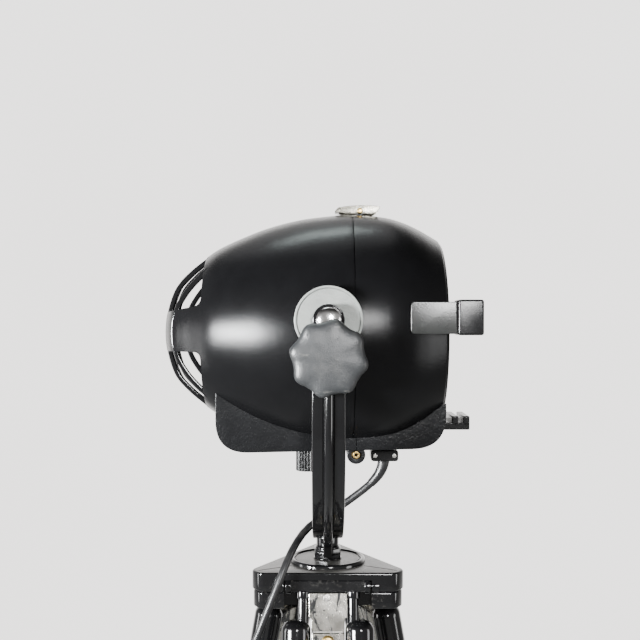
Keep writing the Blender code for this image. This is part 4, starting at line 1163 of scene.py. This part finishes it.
fit(lens_ring, "front_housing", "worn_steel", "lens_ring")
print("pieces so far", len(placed))

# %% [markdown]
# ## Friction discs and pivot bolts
#
# A light grey disc on each side of the egg grips the yoke's eye. Its face is blasted and its rim is turned
# bright. A domed bolt head sits in the middle of it, in the yoke's black eye. All three are lathe work.

# %% Discs and bolts
DISC = coat("friction_disc_grey", (0.19, 0.20, 0.19), 0.42, (650, 0.0003), (120, 0.0004), dust=0.2,
            metallic=0.35,
            chips=0.3, bare=(0.7, 0.7, 0.68))
POLISHED = coat("polished_steel", (0.74, 0.73, 0.72), 0.16, (900, 0.00005), (160, 0.0002), dust=0.15,
                metallic=1.0)
for name, side in (("near", -1), ("far", 1)):
    flip = side < 0
    disc_profile = fillet([(0.0062, 0.1310), (0.0300, 0.1310), (0.0306, 0.1316), (0.0309, 0.1320),
                           (0.0326, 0.1320),
                           (0.0330, 0.1316), (0.0330, 0.1275), (0.0320, 0.1267), (0.0062, 0.1267)], 0.0003)
    disc = painted(lathe(f"friction_disc_{name}_turned", disc_profile, "Y", sides=128, closed=True,
                         flip=flip), DISC)
    fit(disc, "front_housing", "disc_grey", f"friction_disc_{name}")
    dome_profile = [(0.0122 * sin(pi / 2 * i / 16),
                     0.1462 + 0.0050 * cos(pi / 2 * i / 16)) for i in range(17)]
    dome_profile += [(0.0122, 0.1453), (0.0118, 0.1450), (0.0060, 0.1450), (0.0060, 0.1045), (0.0050, 0.1035),
                     (0, 0.1035)]
    dome = painted(lathe(f"pivot_bolt_{name}_turned", dome_profile, "Y", sides=64, flip=flip), POLISHED)
    fit(dome, "front_housing", "bright_metal", f"pivot_bolt_{name}")

# %% [markdown]
# ## The tilt knobs
#
# Each clamp knob is a moulded disc with eight soft lobes. The lobes are strongest at the rim and fade
# towards the middle of the face, so the surface is built as a polar grid: rings of points whose radius
# carries the lobe wave by a weight that grows outwards. A neck and a pressure pad behind it reach the disc.


# %% A lobed knob
def lobed_knob(name, stations, radius, lobe, lobes, twist, sides=160):
    """stations are (share of radius, height, lobe weight) from the front's middle round to the back's."""
    bm = bmesh.new()
    rows = []
    for share, height, weight in stations:
        if share == 0:
            rows.append([bm.verts.new((0, 0, height))])
            continue
        row = []
        for i in range(sides):
            a = 2 * pi * i / sides
            wave = cos(lobes * (a + twist))
            wave = wave if wave > 0 else wave * (1.0 - 0.25 * wave * wave)
            r = radius * share + lobe * weight * wave
            row.append(bm.verts.new((r * cos(a), r * sin(a), height - 0.0003 * weight * (1 - wave))))
        rows.append(row)
    for a, b in zip(rows, rows[1:]):
        for i in range(sides):
            j = (i + 1) % sides
            corners = [a[i % len(a)], a[j % len(a)], b[j % len(b)], b[i % len(b)]]
            corners = list(dict.fromkeys(corners))
            bm.faces.new(corners)
    return from_bmesh(name, bm, 50)


KNOB_DROP = -0.0355
knob_stations = [(0, 0.1664, 0), (0.15, 0.16635, 0), (0.35, 0.1662, 0.08), (0.55, 0.1659, 0.25),
                 (0.72, 0.1654, 0.5),
                 (0.84, 0.1647, 0.75), (0.91, 0.1638, 0.92), (0.955, 0.1625, 1), (0.985, 0.1607, 1),
                 (1.0, 0.1585, 1),
                 (0.995, 0.1562, 1), (0.975, 0.1542, 1), (0.94, 0.1531, 1), (0.88, 0.1526, 0.9),
                 (0.5, 0.1526, 0.1),
                 (0, 0.1526, 0)]
for name, side in (("near", -1), ("far", 1)):
    face = ALONG["Y"] @ (Matrix.Rotation(pi, 4, "X") if side < 0 else Matrix())
    centre = Matrix.Translation((0, 0, KNOB_DROP))
    head = lobed_knob("knob_head", knob_stations, 0.0352, 0.0019, 8, radians(11 if side < 0 else -11))
    head.data.transform(centre @ face)
    neck_profile = fillet([(0, 0.1540), (0.0120, 0.1540), (0.0120, 0.1496), (0.0050, 0.1496),
                           (0.0050, 0.1356),
                           (0.0130, 0.1356), (0.0130, 0.1325), (0, 0.1325)], 0.0008, False)
    neck = lathe("knob_neck", neck_profile, "Y", (0, 0, KNOB_DROP), 48, flip=side < 0)
    knob = joined(f"tilt_knob_{name}_moulded", [painted(head, KNOB), painted(neck, BRIGHT)])
    fit(knob, f"tilt_knob_{name}", "knob_grey", f"tilt_knob_{name}")
print("knobs made")

# %% [markdown]
# ## The yoke
#
# The yoke is a cast strip bent to a U, with a half-round rib down its back. Its section is one outline,
# swept along the U: straight down, half a circle under the lamp, and up again. It narrows to the eye at
# each end. The rib runs on below the bend as a web down to the hub.

# %% Yoke strip
YOKE_MIDDLE, ARC_Z = 0.1405, -0.089


def yoke_path():
    found = [(-YOKE_MIDDLE, z) for z in (-0.004, -0.008, -0.012, -0.016, -0.020, -0.035, -0.060)]
    found += [(-YOKE_MIDDLE * cos(pi * i / 64), ARC_Z - YOKE_MIDDLE * sin(pi * i / 64)) for i in range(65)]
    return found + [(YOKE_MIDDLE, z) for z in (-0.060, -0.035, -0.020, -0.016, -0.012, -0.008, -0.004)]


half_strip = [(-0.0045, 0.0160, 0.0014), (0.0045, 0.0160, 0.0018), (0.0048, 0.0058, 0.0006),
              (0.0040, 0.0050, 0.0005)]
rib_arc = [(0.0044 + 0.0046 * sin(pi / 2 * i / 6), 0.0046 * cos(pi / 2 * i / 6)) for i in range(1, 7)]
right_half = half_strip + rib_arc
strip_outline = fillet(right_half + [(r, -x) if len(p) < 3 else (r, -x, p[2]) for p in reversed(right_half)
                                     for r, x in [p[:2]]], 0.0002, True, 4)
path = yoke_path()


def yoke_section(i):
    y, z = path[i]
    before, after = path[max(i - 1, 0)], path[min(i + 1, len(path) - 1)]
    tangent = Vector((0, after[0] - before[0], after[1] - before[1])).normalized()
    out = Vector((0, tangent.z, -tangent.y))
    narrow = 1.0 if z < -0.018 else 0.78 + 0.22 * (-z - 0.004) / 0.014
    low_rib = 1.0 if z < -0.018 else 0.0
    return [Vector((x * narrow if abs(x) > 0.007 else x, y,
                    z)) + out * (r if r < 0.0048 else 0.0045 + (r - 0.0045) * low_rib)
            for r, x in strip_outline]


strip = sweep("yoke_strip", path, yoke_section)
parts = [strip]
for side in (-1, 1):
    eye_profile = fillet([(0.0064, 0.1449), (0.0120, 0.1449), (0.0145, 0.1456), (0.0152, 0.1450),
                          (0.0152, 0.1361),
                          (0.0064, 0.1361)], 0.0005)
    parts.append(lathe("yoke_eye", eye_profile, "Y", sides=64, closed=True, flip=side < 0))
    web = [(0.0168, -0.2290), (0.0168, -0.2540), (0.0230, -0.2540), (0.0800, -0.2135), (0.0780, -0.2050)]
    web = fillet([(side * y, z) for y, z in web], 0.003, True, 4)
    parts.append(slab("yoke_web", web, 0.0090, Matrix.Rotation(pi / 2, 4, "Z") @ Matrix.Rotation(pi / 2, 4,
        "X"), 0.0016))
yoke = painted(joined("yoke_casting", parts), GLOSS)
fit(yoke, "yoke", "gloss_black", "yoke")

# %% Hub, thread and nut
hub_profile = fillet([(0, -0.2330), (0.0100, -0.2330), (0.0121, -0.2350), (0.0121, -0.2452),
                      (0.0080, -0.2452), (0.0080, -0.3040),
                      (0, -0.3040)], 0.0010, False)
hub = lathe("hub", hub_profile, sides=64)
collar_profile = fillet([(0.0082, -0.2452), (0.0128, -0.2452), (0.0134, -0.2462), (0.0134, -0.2470),
                         (0.0082, -0.2470)], 0.0004)
hub = painted(joined("yoke_hub_turned", [hub, lathe("collar", collar_profile, sides=64, closed=True)]), GLOSS)
fit(hub, "yoke", "gloss_black", "yoke_spigot")
across_corners = 0.014 / cos(pi / 6)
hexagon = fillet([(across_corners * cos(pi / 3 * i + pi / 6),
                   across_corners * sin(pi / 3 * i + pi / 6)) for i in range(6)],
                 0.0012, True, 3)
nut = slab("hex_nut", hexagon, 0.0108, Matrix.Translation((0, 0, -0.2525)), 0.0007)
chamfer = [(0, -0.2460), (0.0138, -0.2466), (0.0168, -0.2478), (0.0168, -0.2574), (0.0150, -0.2580),
           (0, -0.2582)]
cut(nut, lathe("chamfer", chamfer, sides=64), operation="INTERSECT")
washer_profile = fillet([(0.0084, -0.2584), (0.0152, -0.2584), (0.0152, -0.2576), (0.0084, -0.2576)], 0.0003)
nut = painted(joined("yoke_nut_milled", [nut, lathe("nut_washer", washer_profile, sides=64, closed=True)]),
              GLOSS)
fit(nut, "yoke", "gloss_black", "yoke_nut")
print("yoke", len(yoke.data.polygons))

# %% [markdown]
# ## The tripod's head
#
# The head is a three-sided casting with its corners cut off, in two layers with a step between them. The
# top faces are painted a lighter grey on a duller satin enamel: a painted reflection of the pale room, with
# chips of wear. Three thin grooves run from the turntable disc to the corners. Below, the layer is cut away
# where each leg hangs.

# %% Head layers
HEAD_TOP, RECESS_TOP, HINGE_OUT, HINGE_DROP = -0.262, -0.2697, 0.046, -0.277
LEG_DIRECTIONS = {"front": -90, "right": 30, "left": 150}
# The head's top coat: a lighter grey that paints the reflection of the pale room on upward faces, with real
# chips of wear.
HEAD_TOP_SHEEN_AND_WEAR = coat("head_top_sheen_and_wear", (0.045, 0.043, 0.040), 0.30, (700, 0.00025), (70, 0.0006), dust=0.35,
                  chips=1.0,
                  bare=(0.02, 0.02, 0.02))


def head_outline(flat, corner, radius):
    half = (corner - flat / 2) / cos(pi / 6)
    points = []
    for direction in LEG_DIRECTIONS.values():
        a = radians(direction)
        for side in (-1, 1):
            points.append((flat * cos(a) - side * half * sin(a), flat * sin(a) + side * half * cos(a)))
    return fillet(points, radius, True, 6)


upper = slab("head_upper", head_outline(0.0520, 0.0880, 0.006), 0.0200,
             Matrix.Translation((0, 0, HEAD_TOP - 0.0100)), 0.0022, 4)
for direction in (90, 210, 330):
    groove = brick("groove", (0.0445, -0.0009, HEAD_TOP - 0.0010), (0.0835, 0.0009, HEAD_TOP + 0.002), 0)
    groove.data.transform(Matrix.Rotation(radians(direction), 4, "Z"))
    cut(upper, groove)
lower = slab("head_lower", head_outline(0.0508, 0.0868, 0.006), 0.0176,
             Matrix.Translation((0, 0, HEAD_TOP - 0.0292)), 0.0020, 4)
for direction in LEG_DIRECTIONS.values():
    turn = Matrix.Rotation(radians(direction + 90), 4, "Z")
    for layer in (upper, lower):
        recess = brick("recess", (-0.0455, -0.08, -0.32), (0.0455, -0.0355, RECESS_TOP), 0)
        recess.data.transform(turn)
        cut(layer, recess)
upper.data.materials.clear()
upper.data.materials.append(WORN_GLOSS)
upper.data.materials.append(HEAD_TOP_SHEEN_AND_WEAR)
# Upward faces of the upper layer take the lighter coat, a painted reflection.
for face in upper.data.polygons:
    if face.normal.z > 0.9 and face.center.z > HEAD_TOP - 0.0003:
        face.material_index = 1
lugs = []
for direction in LEG_DIRECTIONS.values():
    turn = Matrix.Rotation(radians(direction + 90), 4, "Z")
    for side in (-1, 1):
        boss = bar("hinge_boss", (side * 0.0455, -HINGE_OUT, HINGE_DROP),
                   (side * 0.0535, -HINGE_OUT, HINGE_DROP), 0.0072, 0.0010, 40)
        boss.data.transform(turn)
        lugs.append(boss)
head = joined("tripod_head_casting", [upper, painted(lower, WORN_GLOSS)] + [painted(lug,
    WORN_GLOSS) for lug in lugs])
fit(head, "tripod_head", "gloss_black", "tripod_head")

# %% Turntable disc
top = HEAD_TOP + 0.0003
disc_face = fillet([(0.0085, top), (0.0085, top + 0.0028), (0.0345, top + 0.0028), (0.0348, top + 0.0012),
                    (0.0358, top + 0.0012)],
                   0.0003, False)
bead = [(0.0382 + 0.0026 * cos(pi - pi * i / 12),
         top + 0.0012 + 0.0030 * sin(pi * i / 12)) for i in range(13)]
turntable = lathe("turntable", disc_face + bead + [(0.0410, top)], sides=128, closed=True)
turntable.data.materials.append(WORN_GLOSS)
turntable.data.materials.append(HEAD_TOP_SHEEN_AND_WEAR)
# The turntable's upward face takes the same lighter coat, a painted reflection.
for face in turntable.data.polygons:
    if face.normal.z > 0.9 and face.center.xy.length < 0.0344:
        face.material_index = 1
fit(turntable, "tripod_head", "gloss_black", "turntable_disc")
print("head", len(head.data.polygons), "turntable", len(turntable.data.polygons))

# %% [markdown]
# ## The legs
#
# The three legs are the same, so one function builds a leg hanging straight down from its hinge, and a
# matrix turns it to its place. From the top: a hinge bar with two rods, a worn nickel plate between them, a
# stay with a brass stud, two black rails with round shoulders, a bracket, a clamp knob, and the inner tube
# with its foot.

# %% Leg frame
SPREAD = radians(11.5)
RAIL_TOP, RAIL_END, BRACKET_END, TUBE_TOP = 0.034, 0.556, 0.598, 0.125
REACH = (PIVOT.z + HINGE_DROP) / cos(SPREAD)
WORN_NICKEL = coat("worn_nickel_plate", (0.56, 0.54, 0.49), 0.20, (600, 0.0001), (90, 0.0001), dust=0.12,
                   metallic=1.0,
                   chips=1.0, bare=(0.012, 0.011, 0.010))
TUBE_STEEL = coat("drawn_tube", (0.66, 0.66, 0.66), 0.18, (700, 0.00005), (60, 0.0002), dust=0.15,
                  metallic=1.0,
                  streak=(1.0, 1.0, 0.06))
FOOT_RUBBER = coat("foot_rubber", (0.022, 0.022, 0.022), 0.60, (900, 0.0003), (120, 0.0006), dust=0.5)


def leg_frame(direction):
    turn = Matrix.Rotation(radians(direction + 90), 4, "Z")
    hinge = PIVOT + turn @ Vector((0, -HINGE_OUT, HINGE_DROP))
    return Matrix.Translation(hinge) @ turn @ Matrix.Rotation(-SPREAD, 4, "X")


# %% Patches of old paint
def patched(name, metal, paint_colour):
    """A metal with torn remains of black paint: a copy whose colour and metal shine are masked by a noise."""
    made = metal.copy()
    made.name = name
    nodes, links = made.node_tree.nodes, made.node_tree.links
    shader = nodes["Principled BSDF"]
    where = coordinates(nodes)
    stretched = nodes.new("ShaderNodeMapping")
    stretched.inputs["Scale"].default_value = (1.0, 1.0, 0.45)
    links.new(where, stretched.inputs["Vector"])
    torn = ramp(nodes, links, noise(nodes, links, stretched.outputs["Vector"], 62, 10, 0.72, 0.6),
                [(0.535, 0.0), (0.555, 1.0)])
    old_colour = shader.inputs["Base Color"].links[0].from_socket
    links.new(mix(nodes, links, torn, old_colour, paint_colour), shader.inputs["Base Color"])
    bare_share = ramp(nodes, links, torn, [(0.0, 1.0), (1.0, 0.0)])
    links.new(bare_share, shader.inputs["Metallic"])
    return made


PLATE = patched("hinge_plate_worn", WORN_NICKEL, (0.014, 0.014, 0.014))


# %% One leg
def build_leg(name, direction):
    frame_matrix = leg_frame(direction)
    hanger = [brick("bar", (-0.044, -0.0062, -0.0062), (0.044, 0.0062, 0.0062), 0.0016)]
    hanger.append(bar("pin", (-0.0505, 0, 0), (0.0505, 0, 0), 0.0030, 0.0006, 24))
    for side in (-1, 1):
        across = side * 0.026
        hanger.append(bar("rod", (across, 0, 0.002), (across, 0, -0.060), 0.00575, 0.0008, 40))
        hanger.append(bar("sleeve", (across, 0, -0.0050), (across, 0, -0.0125), 0.0074, 0.0010, 40))
        hanger.append(bar("pin_collar", (side * 0.0380, 0, 0), (side * 0.0440, 0, 0), 0.0085, 0.0012, 40))
    hanger = painted(joined(f"hanger_{name}", hanger), WORN_GLOSS)
    fit(hanger, f"leg_{name}", "gloss_black", f"leg_hanger_{name}", frame_matrix=frame_matrix)
    for label, side in (("a", -1), ("b", 1)):
        profile = [(0, -RAIL_TOP), (0.0050, -RAIL_TOP)]
        profile += [(0.0050 + 0.0102 * sin(pi / 2 * i / 10),
                     -RAIL_TOP - 0.0100 + 0.0100 * cos(pi / 2 * i / 10))
                    for i in range(1, 11)]
        profile += [(0.0152, -RAIL_END + 0.030), (0.0160, -RAIL_END + 0.028), (0.0160, -RAIL_END + 0.002),
                    (0.0150, -RAIL_END), (0, -RAIL_END)]
        rail = painted(lathe(f"rail_{name}_{label}", profile, "Z", (side * 0.033, 0, 0), 64), WORN_GLOSS)
        fit(rail, f"leg_{name}", "leg_tube", f"leg_rail_{name}_{label}", frame_matrix=frame_matrix)
    outline = fillet([(-0.0198, -0.0068), (-0.0198, -0.0315, 0.0005), (-0.0172, -0.0325, 0.0005),
                      (-0.0172, -0.0452),
                      (0.0172, -0.0452), (0.0172, -0.0325, 0.0005), (0.0198, -0.0315, 0.0005),
                      (0.0198, -0.0068)], 0.0014, True, 4)
    cheek = painted(slab("cheek", outline, 0.0040, Matrix.Translation((0, -0.003, 0)) @ UPRIGHT, 0.0007),
                    PLATE)
    top_screw = painted(screw_head("cheek_screw", (-0.0012, -0.0050, -0.0115), 0.0038, 0.0020, FACE_NEAR,
                                   1.1), BRIGHT)
    cheek = joined(f"hinge_plate_{name}", [cheek, top_screw])
    fit(cheek, f"leg_{name}", "worn_steel", f"leg_plate_{name}", frame_matrix=frame_matrix)
    stay = painted(brick("stay", (-0.0172, -0.0065, -0.0940), (0.0172, 0.0065, -0.0458), 0.0014), PLATE)
    stud_profile = fillet([(0, 0.0040), (0.0050, 0.0036), (0.0067, 0.0020), (0.0067, 0), (0, 0)], 0.0010,
                          False)
    stud = lathe("stud", stud_profile, sides=48)
    stud.data.transform(Matrix.Translation((0, -0.0064, -0.0551)) @ FACE_NEAR)
    stay = joined(f"stay_{name}", [stay, painted(stud, BRASS)])
    fit(stay, f"leg_{name}", "worn_steel", f"leg_stay_{name}", frame_matrix=frame_matrix)
    bracket = slab("bracket", fillet([(-0.0490, -0.0165), (0.0490, -0.0165), (0.0490, 0.0165),
        (-0.0490, 0.0165)], 0.0150, True, 8),
                   BRACKET_END - RAIL_END - 0.0004, Matrix.Translation((0, 0, -(RAIL_END + BRACKET_END) / 2)),
                   0.0026, 4)
    middle = -(RAIL_END + BRACKET_END) / 2
    cut(bracket, bar("tube_bore", (0, 0, -0.5), (0, 0, -0.65), 0.0115, 0))
    parts = [bracket]
    collar = fillet([(0.0114, -BRACKET_END - 0.006), (0.0150, -BRACKET_END - 0.006),
                     (0.0156, -BRACKET_END + 0.002),
                     (0.0114, -BRACKET_END + 0.002)], 0.0010)
    parts.append(lathe("bracket_collar", collar, sides=48, closed=True))
    bracket = painted(joined(f"bracket_{name}", parts), WORN_GLOSS)
    fit(bracket, f"leg_{name}", "gloss_black", f"leg_bracket_{name}", frame_matrix=frame_matrix)
    stations = [(0, 0.0366, 0), (0.5, 0.0365, 0.2), (0.8, 0.0358, 0.7), (0.95, 0.0345, 1), (1, 0.0325, 1),
                (1, 0.0275, 1),
                (0.95, 0.0252, 1), (0.8, 0.0245, 0.8), (0, 0.0245, 0)]
    grip = lobed_knob("clamp_grip", stations, 0.0145, 0.0022, 5, 0.3, 80)
    grip.data.transform(Matrix.Translation((0, 0, middle)) @ FACE_NEAR)
    shank = painted(bar("clamp_shank", (0, -0.0300, middle), (0, -0.0122, middle), 0.0040), BRIGHT)
    knob = joined(f"leg_clamp_{name}", [painted(grip, SMOOTH_CAST), shank])
    fit(knob, f"leg_knob_{name}", "base_black", f"leg_knob_{name}", frame_matrix=frame_matrix)
    tip = REACH - 0.012
    tube_profile = fillet([(0, -TUBE_TOP), (0.0110, -TUBE_TOP), (0.0110, -tip), (0, -tip)], 0.0010, False)
    tube = painted(lathe(f"inner_tube_{name}", tube_profile, sides=64), TUBE_STEEL)
    fit(tube, f"lower_leg_{name}", "bright_metal", f"lower_leg_{name}", frame_matrix=frame_matrix)
    place = frame_matrix @ Vector((0, 0, -REACH))
    upright = Matrix.Translation((place.x, place.y, 0)) @ Matrix.Rotation(radians(direction + 90), 4, "Z")
    foot_profile = [(0.0113, 0.0310), (0.0150, 0.0310), (0.0158, 0.0300)]
    for ring in range(3):
        z = 0.0255 - ring * 0.0062
        foot_profile += [(0.0160 + ring * 0.0008, z + 0.0022), (0.0154 + ring * 0.0008, z + 0.0012),
                         (0.0161 + ring * 0.0008, z)]
    foot_profile += [(0.0188, 0.0080), (0.0190, 0.0012), (0.0180, 0.0), (0, 0.0)]
    foot = painted(lathe(f"rubber_foot_{name}", [(0, 0.0290), (0.0113, 0.0290)] + foot_profile, sides=64),
                   FOOT_RUBBER)
    fit(foot, f"lower_leg_{name}", "foot_rubber", f"foot_{name}", frame_matrix=upright)


for name, direction in LEG_DIRECTIONS.items():
    build_leg(name, direction)
print("pieces", len(placed), "floor reach of the foot", round((leg_frame(-90) @ Vector((0, 0, -REACH))).y, 3))
